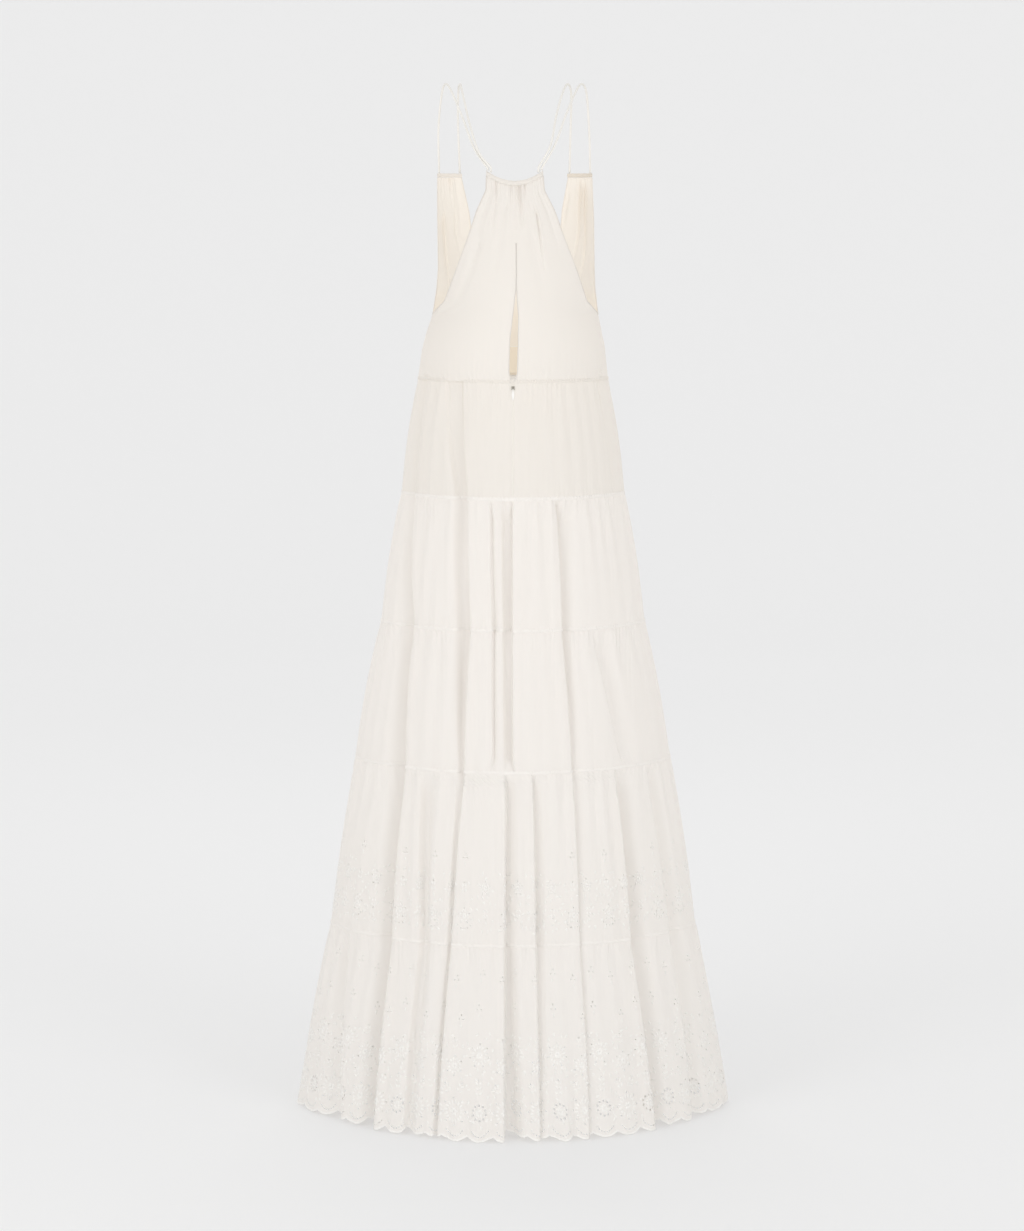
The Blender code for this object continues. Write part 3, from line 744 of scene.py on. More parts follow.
def tier_sheet(number, first, last, columns, rows):
    """One panel of a tier between two shares along the edge."""
    at = np.linspace(first, last, 4 * columns)
    grid, widths = [], []
    drops = tier_drops(number, rows)
    for drop in drops:
        points = skirt_row(number, LEVELS[number].z - drop, at)
        even, width = even_run(points, columns)
        grid.append(even)
        widths.append(width)
    return Sheet(np.array(grid), drops, widths)


def add_object(name, data, location=(0.0, 0.0, 0.0), rotation=(0.0, 0.0, 0.0)):
    obj = bpy.data.objects.new(name, data)
    obj.location = location
    obj.rotation_euler = rotation
    bpy.context.scene.collection.objects.link(obj)
    return obj


def add_mesh(name, points, faces, material, uvs=None):
    """A piece from its points and faces, with flat coordinates in metres as its UV map."""
    mesh = bpy.data.meshes.new(name)
    mesh.from_pydata(np.reshape(points, (-1, 3)).tolist(), [], faces)
    mesh.update()
    if uvs is not None:
        layer = mesh.uv_layers.new(name="flat")
        corners = np.empty(len(mesh.loops), np.int32)
        mesh.loops.foreach_get("vertex_index", corners)
        layer.data.foreach_set("uv", np.asarray(uvs, np.float32)[corners].ravel())
    mesh.shade_smooth()
    mesh.materials.append(material)
    return add_object(name, mesh)


def numbers(rows, columns, first=0):
    """The numbers of a grid's points, counted along its rows."""
    return first + np.arange(rows * columns).reshape(rows, columns)


def closed(corner):
    """A grid of point numbers whose rows are rings."""
    return np.hstack([corner, corner[:, :1]])


def quads(corner, flip=False):
    """The quads between a grid's point numbers."""
    a, b = corner[:-1, :-1].ravel(), corner[:-1, 1:].ravel()
    c, d = corner[1:, 1:].ravel(), corner[1:, :-1].ravel()
    return np.stack([a, d, c, b] if flip else [a, b, c, d], axis=1).tolist()


def round_angles(count):
    """Evenly spaced angles once round."""
    return [2.0 * math.pi * step / count for step in range(count)]


def grid_piece(name, sheet, drops, width, columns, material, flip=True):
    """A sheet as a plain grid, with rows at these drops from its top."""
    shares, drops = np.meshgrid(np.linspace(0.0, 1.0, columns + 1), drops)
    uvs = np.stack([shares.ravel() * width, -drops.ravel()], axis=1)
    faces = quads(numbers(*shares.shape), flip)
    return add_mesh(name, sheet.at(shares.ravel(), drops.ravel()), faces, material, uvs)


class Pattern:
    """Embroidery laid out in flat cloth: eyelets and raised petals."""

    def __init__(self, seed):
        self.eyelets = []
        self.petals = []
        self.motifs = []
        self.draw = np.random.default_rng(seed)

    def eyelet(self, x, y, radius=EYELET_RADIUS):
        self.eyelets.append((x, y, radius))

    def petal(self, x, y, angle, length, width):
        self.petals.append((x, y, angle, length, width))

    def flower(self, x, y, petals, inner, length, width, turn=0.0):
        for angle in turn + np.array(round_angles(petals)):
            self.petal(x + inner * math.cos(angle), y + inner * math.sin(angle), angle, length, width)

    def ring(self, x, y, radius, count, turn=0.0, sweep=2.0 * math.pi, size=EYELET_RADIUS):
        whole = sweep > 6.0
        for number in range(count):
            angle = turn + sweep * number / (count if whole else count - 1)
            self.eyelet(x + radius * math.cos(angle), y + radius * math.sin(angle), size)

    def rosette(self, x, y, reach, rays):
        """A round flower: a small heart, a ring of short rays and a few eyelets outside it."""
        self.flower(x, y, 6, 0.0008, 0.36 * reach, 0.0036)
        self.flower(x, y, rays, 0.58 * reach, 0.42 * reach, 0.0031, 0.2)
        self.ring(x, y, 1.10 * reach, rays // 2, math.pi / 2.0, size=SMALL_EYELET)
        self.motifs.append((x, y, 1.25 * reach))

    def eyelet_wheel(self, x, y, radius, count):
        """A ring of large eyelets round a small flower."""
        self.ring(x, y, radius, count, math.pi / 2.0, size=LARGE_EYELET)
        self.flower(x, y, 7, 0.0014, 0.55 * radius, 0.0032)
        self.motifs.append((x, y, radius + 0.0040))

    def sprig(self, x, y, angle, leaves, spacing, length, width):
        """Pairs of leaves along a short stem, with an eyelet at its tip."""
        for number in range(leaves):
            along = spacing * (number + 0.5)
            px, py = x + along * math.cos(angle), y + along * math.sin(angle)
            for side in (-1.0, 1.0):
                lean = angle + side * 0.85
                self.petal(px + 0.0012 * math.cos(lean), py + 0.0012 * math.sin(lean), lean, length, width)
        tip = spacing * leaves + 0.003
        self.eyelet(x + tip * math.cos(angle), y + tip * math.sin(angle), SMALL_EYELET)
        middle = 0.5 * spacing * leaves
        self.motifs.append((x + middle * math.cos(angle), y + middle * math.sin(angle), middle + 0.003))

    def scatter(self, low, high, spacing, share):
        """Small leaves over the cloth between the motifs, thinner towards the top."""
        across = int(REPEAT * REPEATS / spacing)
        for row in range(int((high - low) / spacing)):
            kept = share * (1.0 - 0.5 * row * spacing / (high - low))
            for place in range(across):
                x = spacing * (place + 0.5 + self.draw.uniform(-0.35, 0.35))
                y = low + spacing * (row + 0.5 + self.draw.uniform(-0.35, 0.35))
                angle, chance = self.draw.uniform(0.0, 2.0 * math.pi), self.draw.uniform()
                clear = all(math.hypot(x - a, y - b) > reach for a, b, reach in self.motifs)
                if clear and chance < kept:
                    self.petal(x, y, angle, LEAF_LENGTH, LEAF_WIDTH)


def scallop(x):
    """How far the hem is cut up at a place along it: nothing at a scallop's lowest point."""
    span = REPEAT / SCALLOPS_PER_REPEAT
    return SCALLOP_DEPTH * (1.0 - np.abs(np.sin(math.pi * x / span)) ** 0.8)


def hem_pattern():
    """The hem tier's repeats: height is measured up from the hem."""
    pattern = Pattern(17)
    up, half = math.pi / 2.0, REPEAT / 2.0
    for number in range(REPEATS):
        left = number * REPEAT
        for scallop_number in range(SCALLOPS_PER_REPEAT):
            middle = left + half * (scallop_number + 0.5)
            pattern.ring(middle, 0.0240, 0.0170, 8, -up - 0.92, 1.84, SMALL_EYELET)
        one, other = left + 0.25 * REPEAT, left + 0.75 * REPEAT
        pattern.rosette(one, 0.0400, 0.0170, 16)
        pattern.eyelet_wheel(other, 0.0400, 0.0105, 10)
        pattern.sprig(other, 0.0600, up, 3, 0.0070, 0.0062, 0.0030)
        pattern.sprig(one - 0.0060, 0.0640, up + 0.5, 2, 0.0070, 0.0062, 0.0030)
        pattern.sprig(one + 0.0060, 0.0640, up - 0.5, 2, 0.0070, 0.0062, 0.0030)
        pattern.rosette(one, 0.1030, 0.0120, 12)
        pattern.rosette(other, 0.1190, 0.0145, 14)
        pattern.sprig(one, 0.1240, up + 0.2, 2, 0.0072, 0.0054, 0.0024)
        for x, y in ((one + 0.006, 0.1690), (other - 0.004, 0.1840), (one - 0.004, 0.2230), (other, 0.2320)):
            pattern.ring(x, y, 0.0040, 3, up, size=SMALL_EYELET)
            pattern.petal(x, y - 0.0075, -up, 0.0060, LEAF_WIDTH)
    pattern.scatter(0.0200, 0.1560, 0.0092, 0.85)
    return pattern


def band_pattern():
    """The band above the last seam: two rows of flowers with small leaves between them."""
    pattern = Pattern(19)
    up = math.pi / 2.0
    for number in range(REPEATS):
        left = number * REPEAT
        low, high = left + 0.25 * REPEAT, left + 0.75 * REPEAT
        pattern.rosette(low, 0.0420, 0.0100, 10)
        pattern.ring(low, 0.0420, 0.0180, 5, -up - 0.75, 1.5, SMALL_EYELET)
        pattern.rosette(high, 0.0820, 0.0090, 10)
        pattern.sprig(high, 0.0560, -up, 2, 0.0070, 0.0062, 0.0030)
        pattern.sprig(low, 0.0720, up, 2, 0.0070, 0.0062, 0.0030)
        pattern.ring(low, 0.1260, 0.0040, 3, up, size=SMALL_EYELET)
        pattern.petal(low, 0.1185, -up, 0.0060, LEAF_WIDTH)
    pattern.scatter(0.0160, 0.1100, 0.0098, 0.7)
    return pattern


def flat_points(pattern, width, height, scalloped):
    """The points of the flat cloth, clear of its eyelets, and then those of each eyelet's edge."""
    across = int(round(width / GRID_ACROSS))
    down = int(round(height / GRID_DOWN))
    holes = np.array(pattern.eyelets)
    points, edges = [], []
    for column_number in range(across + 1):
        x = width * column_number / across
        low = float(scallop(x)) if scalloped else 0.0
        for row in range(down + 1):
            y = low + (height - low) * row / down
            near = np.hypot(holes[:, 0] - x, holes[:, 1] - y) < holes[:, 2] + EYELET_CLEARANCE
            edge = row in (0, down) or column_number in (0, across)
            if edge or not near.any():
                points.append((x, y))
    for x, y, radius in pattern.eyelets:
        first = len(points)
        for a in round_angles(EYELET_SIDES):
            points.append((x + radius * math.cos(a), y + radius * math.sin(a)))
        edges += [(first + k, first + (k + 1) % EYELET_SIDES) for k in range(EYELET_SIDES)]
    return points, edges


def cut_piece(name, sheet, pattern, height, scalloped, material):
    """A sheet with its eyelets cut through and, on the hem, its scallops cut out."""
    width = REPEAT * REPEATS
    points, edges = flat_points(pattern, width, height, scalloped)
    flat, _, faces = geometry.delaunay_2d_cdt([Vector(p) for p in points], edges, [], 0, 1e-7)[:3]
    flat = np.array([tuple(p) for p in flat])
    faces = np.array(faces)
    middle = flat[faces].mean(axis=1)
    keep = np.ones(len(faces), bool)
    for x, y, radius in pattern.eyelets:
        inside = np.abs(middle[:, 0] - x) < radius
        inside[inside] = np.hypot(middle[inside, 0] - x, middle[inside, 1] - y) < INSIDE_SHARE * radius
        keep &= ~inside
    if scalloped:
        keep &= middle[:, 1] > scallop(middle[:, 0]) - 1e-5
    on_cloth = sheet.at(flat[:, 0] / width, height - flat[:, 1])
    uvs = np.stack([flat[:, 0], flat[:, 1] - height], axis=1)
    return add_mesh(name, on_cloth, faces[keep][:, ::-1].tolist(), material, uvs)


class Stitches:
    """Raised thread over flat cloth."""

    def __init__(self):
        self.points = []
        self.faces = []

    def add(self, grid, ring=False):
        """Rows of points: place on the cloth, height over it, and along and across the thread."""
        corner = numbers(len(grid), len(grid[0]), len(self.points))
        self.faces += quads(closed(corner) if ring else corner, True)
        self.points += [point for row in grid for point in row]

    def rim(self, x, y, radius):
        """The worked rim of an eyelet."""
        grid = []
        for out, rise in ((0.0, THREAD_LIFT), (0.5, RIM_HEIGHT), (1.0, THREAD_LIFT)):
            reach = radius + RIM_WIDTH * out
            grid.append([
                (x + reach * math.cos(a), y + reach * math.sin(a), rise, a * radius, out * RIM_WIDTH)
                for a in round_angles(EYELET_SIDES)
            ])
        self.add(grid, True)

    def petal(self, x, y, angle, length, width):
        """A petal or leaf of satin stitch, blunt at its root and rounded up along its middle."""
        grid = []
        for i in range(PETAL_STEPS + 1):
            s = i / PETAL_STEPS
            spread = math.sin(math.pi * min(0.999, max(0.001, s**0.8))) ** 0.7
            half = 0.5 * width * spread + 0.00015
            row = []
            for t in (-1.0, 0.0, 1.0):
                px, py = length * s, half * t
                rise = (1.0 - t * t) ** 0.6 * math.sin(math.pi * (0.06 + 0.88 * s)) ** 0.5
                row.append((x + px * math.cos(angle) - py * math.sin(angle),
                            y + px * math.sin(angle) + py * math.cos(angle),
                            THREAD_LIFT + PETAL_HEIGHT * rise, px, py))
            grid.append(row)
        self.add(grid)

    def hem_edge(self):
        """The worked edge along the scallops."""
        steps = REPEATS * SCALLOPS_PER_REPEAT * STEPS_PER_SCALLOP
        grid = []
        for i in range(steps + 1):
            x = REPEAT * REPEATS * i / steps
            low = float(scallop(x))
            grid.append([
                (x, low + EDGE_BAND * out - 0.0003 * (out == 0.0), rise, EDGE_BAND * out, x)
                for out, rise in EDGE_PROFILE
            ])
        self.add(grid)

    def piece(self, name, sheet, height, material):
        """The thread laid on a folded sheet."""
        table = np.array(self.points)
        share = np.clip(table[:, 0] / (REPEAT * REPEATS), 0.0, 1.0)
        points = sheet.at(share, height - table[:, 1], table[:, 2])
        return add_mesh(name, points, self.faces, material, table[:, 3:])


def stitched_piece(name, sheet, pattern, height, scalloped, material):
    """The raised thread of one panel: eyelet rims, petals and the hem's worked edge."""
    stitches = Stitches()
    for eyelet in pattern.eyelets:
        stitches.rim(*eyelet)
    for petal in pattern.petals:
        stitches.petal(*petal)
    if scalloped:
        stitches.hem_edge()
    return stitches.piece(name, sheet, height, material)


class Shading:
    """A material and its nodes."""

    def __init__(self, name, **values):
        self.material = bpy.data.materials.new(name)
        self.material.use_nodes = True
        self.nodes = self.material.node_tree.nodes
        self.shader = self.nodes["Principled BSDF"]
        self.set(self.shader, {key.replace("_", " "): value for key, value in values.items()})
        self.place = self.add("TexCoord")

    def set(self, node, inputs):
        """Give a node's inputs their values, or link them to another node's output."""
        for key, value in inputs.items():
            if isinstance(value, bpy.types.NodeSocket):
                self.material.node_tree.links.new(value, node.inputs[key])
            else:
                node.inputs[key].default_value = value

    def add(self, kind, inputs=None, **settings):
        node = self.nodes.new("ShaderNode" + kind)
        for key, value in settings.items():
            setattr(node, key, value)
        self.set(node, inputs or {})
        return node

    def mixed(self, share, one, other):
        """One colour turned into another by a share."""
        return self.add("Mix", {0: share, 6: one, 7: other}, data_type="RGBA").outputs[2]

    def ranged(self, value, low, high, start=0.0, end=1.0):
        """A value from start to end, spread from low to high."""
        inputs = {"Value": value, "From Min": start, "From Max": end, "To Min": low, "To Max": high}
        return self.add("MapRange", inputs).outputs["Result"]

    def noise(self, vector, scale, detail, roughness=0.5):
        inputs = {"Vector": vector, "Scale": scale, "Detail": detail, "Roughness": roughness}
        return self.add("TexNoise", inputs).outputs["Fac"]

    def wave(self, vector, direction, scale, distortion, detail):
        inputs = {"Vector": vector, "Scale": scale, "Distortion": distortion, "Detail": detail}
        return self.add("TexWave", inputs, wave_type="BANDS", bands_direction=direction).outputs["Fac"]

    def bump(self, height, strength, distance, below=None):
        inputs = {"Height": height, "Strength": strength, "Distance": distance}
        if below is not None:
            inputs["Normal"] = below
        return self.add("Bump", inputs).outputs["Normal"]


def rgba(colour):
    return (*colour, 1.0)


def turned_below(shading, colour, low):
    """The colour turned into another one between two heights."""
    height = shading.add("SeparateXYZ", {0: shading.place.outputs["Object"]}).outputs["Z"]
    share = shading.ranged(height, 0.0, 1.0, low.top, low.bottom)
    return shading.mixed(share, colour, rgba(low.colour))


def woven_bumps(shading, stretched):
    """Warp and weft threads over a soft crumple."""
    flat = shading.place.outputs["UV"]
    warp, weft = (shading.wave(flat, direction, *WEAVE) for direction in "XY")
    threads = shading.add("Math", {0: warp, 1: weft}, operation="MAXIMUM").outputs[0]
    crumple = shading.bump(shading.noise(stretched, *CRUMPLE), *CRUMPLE_BUMP)
    return shading.bump(threads, *WEAVE_BUMP, crumple)


def voile_material(name, light, shade, through, through_share, low=None, inner=None):
    """Plain woven voile: uneven threads, a little light coming through, soft sheen."""
    shading = Shading(
        name, Roughness=0.88, Specular_IOR_Level=0.25, Sheen_Weight=0.15, Sheen_Roughness=0.5
    )
    inputs = {"Vector": shading.place.outputs["Object"], "Scale": SLUB_STRETCH}
    stretched = shading.add("Mapping", inputs).outputs["Vector"]
    colour = shading.mixed(shading.noise(stretched, *SLUB), rgba(shade), rgba(light))
    through = rgba(through)
    # Below a height the colour turns into another; on the bodice this is painted light and shade, lighter
    # towards the waist
    if low is not None:
        colour = turned_below(shading, colour, low)
    # On the inner side the colour, the light coming through and its share are painted warmer: painted shade
    # of the dress's inside
    if inner is not None:
        facing = shading.add("NewGeometry").outputs["Backfacing"]
        paint = shading.add("RGB")
        paint.outputs[0].default_value = rgba(inner.colour)
        colour = shading.mixed(facing, colour, turned_below(shading, paint.outputs[0], inner.low))
        through = shading.mixed(facing, through, rgba(inner.through))
        through_share = shading.ranged(facing, through_share, inner.share)
    normal = woven_bumps(shading, stretched)
    shading.set(shading.shader, {"Base Color": colour, "Normal": normal})
    glow = shading.add("BsdfTranslucent", {"Color": through, "Normal": normal})
    mix = shading.add("MixShader", {0: through_share, 1: shading.shader.outputs[0], 2: glow.outputs[0]})
    shading.set(shading.nodes["Material Output"], {"Surface": mix.outputs[0]})
    return shading.material


def spun_material(name, colour, dark, roughness, vector, wave, bump, mottle):
    """Thread or cord: fine ridges and a slightly mottled colour."""
    shading = Shading(name, Roughness=roughness, Sheen_Weight=0.2)
    ridges = shading.wave(shading.place.outputs[vector], *wave)
    mottled = shading.noise(shading.place.outputs["Object"], *mottle)
    colour = shading.mixed(mottled, rgba([dark * part for part in colour]), rgba(colour))
    shading.set(shading.shader, {"Base Color": colour, "Normal": shading.bump(ridges, *bump)})
    return shading.material


def metal_material(name, colour, metallic):
    """Worn satin metal of the zip's slider and pull."""
    shading = Shading(name, Base_Color=rgba(colour), Metallic=metallic)
    wear = shading.noise(shading.place.outputs["Object"], *WEAR)
    inputs = {"Roughness": shading.ranged(wear, *WORN_ROUGHNESS), "Normal": shading.bump(wear, *WEAR_BUMP)}
    shading.set(shading.shader, inputs)
    return shading.material


def figure_points(turn, z, on_front, out=0.0):
    """Points on the figure, moved out along the section's normal."""
    half_width = read(FIGURE, "half_width", z)
    half_depth = read(FIGURE, "front_depth" if on_front else "back_depth", z)
    x, y = section_curve(turn, half_width, half_depth)
    normal_x, normal_y = section_normal(turn, half_width, half_depth)
    facing = -1.0 if on_front else 1.0
    centre = read(FIGURE, "centre", z)
    return np.stack(
        [centre + x + normal_x * out, facing * (y + normal_y * out), z + 0.0 * x], axis=-1
    )


def edge_turn(edges, z):
    """The turn of a panel's edge at one height."""
    share = read(edges, "half", z) / read(FIGURE, "half_width", z)
    return np.arcsin(np.minimum(1.0, share))


def line_depth(line, drop, share, width):
    """How far in a soft fold goes at one height, with a low ridge beside it."""
    along = (drop - line.start) / line.length
    passed = max(0.0, min(1.0, along))
    fade = min(1.0, 1.0 - along) if along < 1.0 else 0.0
    if line.start > 0.0:
        fade /= 1.0 + math.exp(-(drop - line.start) / LINE_ONSET)
    away = (share - line.share - line.drift * passed) * width
    spread = line.width * (1.0 + LINE_WIDENING * passed)
    ridge = RIDGE_SHARE * fade * bump(away - RIDGE_AWAY * spread, RIDGE_SPREAD * spread)
    return line.depth * (LINE_DEPTH_SHARE * fade**LINE_FADE_POWER * bump(away, spread) - ridge)


def uneven_waves(run, phases, drift=0.0):
    """Waves of a few close lengths laid over each other."""
    waves = np.zeros_like(run)
    for k, phase in enumerate(phases):
        waves += 0.5 * np.cos(run * (0.8 + 0.13 * k) + phase + drift * (k - 1.5))
    return waves


def bodice_sheet(side, on_front, top_z, low_z, inner_edge, outer_edge, dip, lines):
    """A bodice panel, from its gathered top down to its waist seam."""
    share = np.linspace(0.0, 1.0, BODICE_SHEET_COLUMNS)
    phases = np.random.default_rng(5 + int(side) + 3 * on_front).uniform(0.0, 2.0 * math.pi, 8)
    neck_run = 2.0 * math.pi / NECK_GATHER_SPACING * (FRONT_GATHERED if on_front else BACK_GATHERED) * share
    grid, widths, drops = [], [], []
    for z in top_z + (low_z - top_z) * BODICE_LEVELS:
        start = edge_turn(inner_edge, z)
        end = edge_turn(outer_edge, z) if z > UNDERARM_Z else math.pi / 2.0
        turn = start + (end - start) * share
        drop, rise = top_z - z, z - low_z
        width = float(read(FIGURE, "half_width", z)) * (end - start)
        neck = NECK_GATHER_DEPTH * math.exp(-drop / NECK_GATHER_REACH)
        out = neck * uneven_waves(neck_run, phases[:4], NECK_GATHER_DRIFT * drop)
        waist_run = 2.0 * math.pi / WAIST_GATHER_SPACING * width * share
        waist = WAIST_GATHER_DEPTH * math.exp(-rise / WAIST_GATHER_REACH)
        out += waist * uneven_waves(waist_run, phases[4:])
        for line in lines:
            out -= line_depth(line, drop, share, width)
        for crease in WAIST_CREASES:
            if crease.side == side and not on_front:
                across = bump((share - crease.share) * width, crease.half_length)
                out -= crease.depth * across * bump(rise - crease.rise, CREASE_WIDTH)
        height = z - dip * max(0.0, 1.0 - drop / NECK_DIP_REACH) * (1.0 - share**2)
        grid.append(figure_points(side * turn, height, on_front, -out if on_front else out))
        widths.append(width)
        drops.append(drop)
    return Sheet(np.array(grid), drops, widths)


def tube_along(points, radius, sides):
    """Points and faces of a tube along a line, capped at its ends."""
    points = np.asarray(points, float)
    tangent = np.gradient(points, axis=0)
    tangent /= np.maximum(np.linalg.norm(tangent, axis=1, keepdims=True), 1e-12)
    normal = np.cross(tangent[0], TUBE_LEAN)
    rings = []
    for at, along in zip(points, tangent):
        normal = normal - along * np.dot(normal, along)
        normal /= np.linalg.norm(normal)
        other = np.cross(along, normal)
        rings.append([
            at + radius * (math.cos(a) * normal + math.sin(a) * other) for a in round_angles(sides)
        ])
    corner = numbers(len(points), sides)
    return rings, quads(closed(corner)) + [corner[0, ::-1].tolist(), corner[-1].tolist()]


def smooth_route(places, count):
    """Points along a smooth curve through the places, a cubic through each four neighbours."""
    route = np.array(places, float)
    route = np.vstack([2 * route[0] - route[1], route, 2 * route[-1] - route[-2]])
    spans = len(places) - 1
    points = []
    for step in range(count):
        along = step * spans / (count - 1)
        number = min(int(along), spans - 1)
        t = along - number
        a, b, c, d = route[number : number + 4]
        points.append(
            0.5 * (2 * b + (c - a) * t + (2 * a - 5 * b + 4 * c - d) * t**2
                   + (3 * b - a - 3 * c + d) * t**3)
        )
    return np.array(points)


def neck_binding_top(share):
    """The height of the neck binding's top edge, at a share of its half length."""
    return NECK_END_Z - NECK_DIP * (1.0 - np.minimum(1.0, np.abs(share)) ** 2)


def strap_route(side, outside, middle):
    """A strap's route: its seat on the neck binding, its places, its seat on the front binding."""
    neck_half = read(BACK_ARMHOLE, "half", NECK_END_Z - NECK_BINDING_HEIGHT)
    half_width = read(FIGURE, "half_width", NECK_END_Z)
    reach = neck_half - STRAP_INSET - (0.0 if outside else STRAP_SPACING)
    back_seat = float(neck_binding_top((reach + CORD_RADIUS) / neck_half)) + SEAM_GAP
    turn = side * math.asin(reach / half_width)
    start = figure_points(turn, back_seat, False, -WALL / 2.0)
    edges = FRONT_ARMHOLE if outside else FRONT_NECK
    front_half = read(edges, "half", FRONT_TOP_Z) + STRAP_INSET * (-1.0 if outside else 1.0)
    turn = side * math.asin(front_half / read(FIGURE, "half_width", FRONT_TOP_Z))
    end = figure_points(turn, FRONT_TOP_Z + SEAM_GAP, True, -WALL / 2.0)
    rise = np.array([0.0, 0.0, OUTER_STRAP_RISE if outside else INNER_STRAP_RISE])
    return start, [start + rise, *[np.array(place) for place in middle], end + rise], end


def dress_piece(obj, node=None):
    """Let a piece move with the dress, and stand for a node's solid if it has one."""
    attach(obj, BODY)
    if node:
        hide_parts(node)


def make_strap(name, side, outside, middle, material):
    start, places, end = strap_route(side, outside, middle)
    line = np.vstack([start, smooth_route(places, STRAP_POINTS), end])
    rings, faces = tube_along(line, CORD_RADIUS, STRAP_SIDES)
    dress_piece(add_mesh(name + "_cord", rings, faces, material), name)


def band_piece(name, turns, on_front, low, high, material, waviness, seed):
    """A bias strip folded over an edge: a closed band with rounded long edges and small puckers."""
    phases = np.random.default_rng(seed).uniform(0.0, 2.0 * math.pi, 5)
    run = np.linspace(0.0, 1.0, len(turns))
    pucker = sum(np.cos(2.0 * math.pi * (9 + 4 * k) * run + p) for k, p in enumerate(phases)) / 3.0
    rows = []
    for level, depth in BAND_PROFILE:
        z = low + (high - low) * level + waviness * pucker * (0.5 + level)
        out = (BINDING_WALL - WALL) / 2.0 + BINDING_WALL * depth * BAND_DEPTH + 0.25 * waviness * pucker
        rows.append(figure_points(turns, z, on_front, out))
    corner = numbers(len(BAND_PROFILE), len(turns))
    faces = quads(closed(corner.T).T) + [corner[:, 0].tolist(), corner[::-1, -1].tolist()]
    return add_mesh(name, rows, faces, material)


def tier_height(number):
    return LEVELS[number].z - LEVELS[number + 1].z


def make_plain_tier(node, number, first, last, material):
    columns = int(TIER_COLUMNS * (last - first) / 0.5)
    sheet = tier_sheet(number, first, last, max(columns, FEWEST_SHEET_COLUMNS), SHEET_ROWS)
    rows = np.linspace(0.0, 1.0, TIER_ROWS + 1)
    drops = np.interp(rows, np.linspace(0.0, 1.0, len(sheet.drops)), sheet.drops)
    width = float(np.mean(sheet.widths))
    obj = grid_piece(f"{node}_cloth", sheet, drops, width, columns, material)
    dress_piece(obj, node)


def make_cut_tier(node, number, first, last, pattern, cloth, thread):
    sheet = tier_sheet(number, first, last, SHEET_COLUMNS, SHEET_ROWS)
    height = tier_height(number)
    scalloped = number == TIERS - 1
    obj = cut_piece(f"{node}_cloth", sheet, pattern, height, scalloped, cloth)
    dress_piece(obj, node)
    stitches = stitched_piece(f"{node}_cloth_stitches", sheet, pattern, height, scalloped, thread)
    dress_piece(stitches)


def make_seam(number, material):
    """The narrow welt where a tier is gathered onto the one above."""
    z = LEVELS[number].z
    at = np.linspace(-0.5, 0.5, WELT_STEPS, endpoint=False)
    pucker = ripple(at, 150 + 30 * number, 90 + number, 0.0)
    line = skirt_row(number, z, at, False)
    along = np.roll(line, -1, axis=0) - np.roll(line, 1, axis=0)
    along /= np.linalg.norm(along, axis=1, keepdims=True)
    normal = np.stack([along[:, 1], -along[:, 0], np.zeros(WELT_STEPS)], axis=1)
    rows = []
    for rise, lift in WELT_PROFILE:
        row = line + normal * (lift + WELT_PUCKER_OUT * pucker)[:, None]
        row[:, 2] = z + rise + WELT_PUCKER_UP * pucker
        rows.append(row)
    obj = add_mesh(f"seam_{number}", rows, quads(closed(numbers(len(rows), WELT_STEPS))), material)
    dress_piece(obj)


def make_bodice_panel(name, node, sheet, material, flip):
    width = float(np.max(sheet.widths))
    obj = grid_piece(name, sheet, sheet.drops[::2], width, BODICE_COLUMNS, material, flip)
    dress_piece(obj, node)


def make_edge_roll(name, points, material):
    """The narrow rolled hem along a cut edge."""
    rings, faces = tube_along(points, EDGE_ROLL_RADIUS, EDGE_ROLL_SIDES)
    dress_piece(add_mesh(name, rings, faces, material))


def make_bodice(voile, front_voile):
    back_ends = (NECK_END_Z - NECK_BINDING_HEIGHT, WAIST_Z + SEAM_GAP / 2.0)
    front_ends = (FRONT_TOP_Z - FRONT_BINDING_HEIGHT, WAISTBAND_TOP_Z + SEAM_GAP / 2.0)
    for word, side in (("left", -1.0), ("right", 1.0)):
        lines = BACK_LEFT_LINES if side < 0 else BACK_RIGHT_LINES
        back = bodice_sheet(side, False, *back_ends, BACK_SLIT, BACK_ARMHOLE, NECK_DIP, lines)
        make_bodice_panel(f"back_{word}_cloth", f"back_bodice_{word}", back, voile, side > 0)
        inner, outer = back.grid[:, 0], back.grid[:, -1]
        make_edge_roll(f"back_{word}_armhole_hem", outer[outer[:, 2] > ARMHOLE_END_Z], voile)
        make_edge_roll(f"back_{word}_slit_hem", inner[inner[:, 2] < SLIT_HEM_TOP], voile)
        lines = FRONT_LEFT_LINES if side < 0 else FRONT_RIGHT_LINES
        front = bodice_sheet(side, True, *front_ends, FRONT_NECK, FRONT_ARMHOLE, 0.0, lines)
        make_bodice_panel(f"front_{word}_cloth", f"front_bodice_{word}", front, front_voile, side < 0)
        inner, outer = front.grid[:, 0], front.grid[:, -1]
        make_edge_roll(f"front_{word}_armhole_hem", outer[outer[:, 2] > ARMHOLE_END_Z], front_voile)
        make_edge_roll(f"front_{word}_neck_hem", inner[inner[:, 2] > FRONT_NECK[-1].z], front_voile)


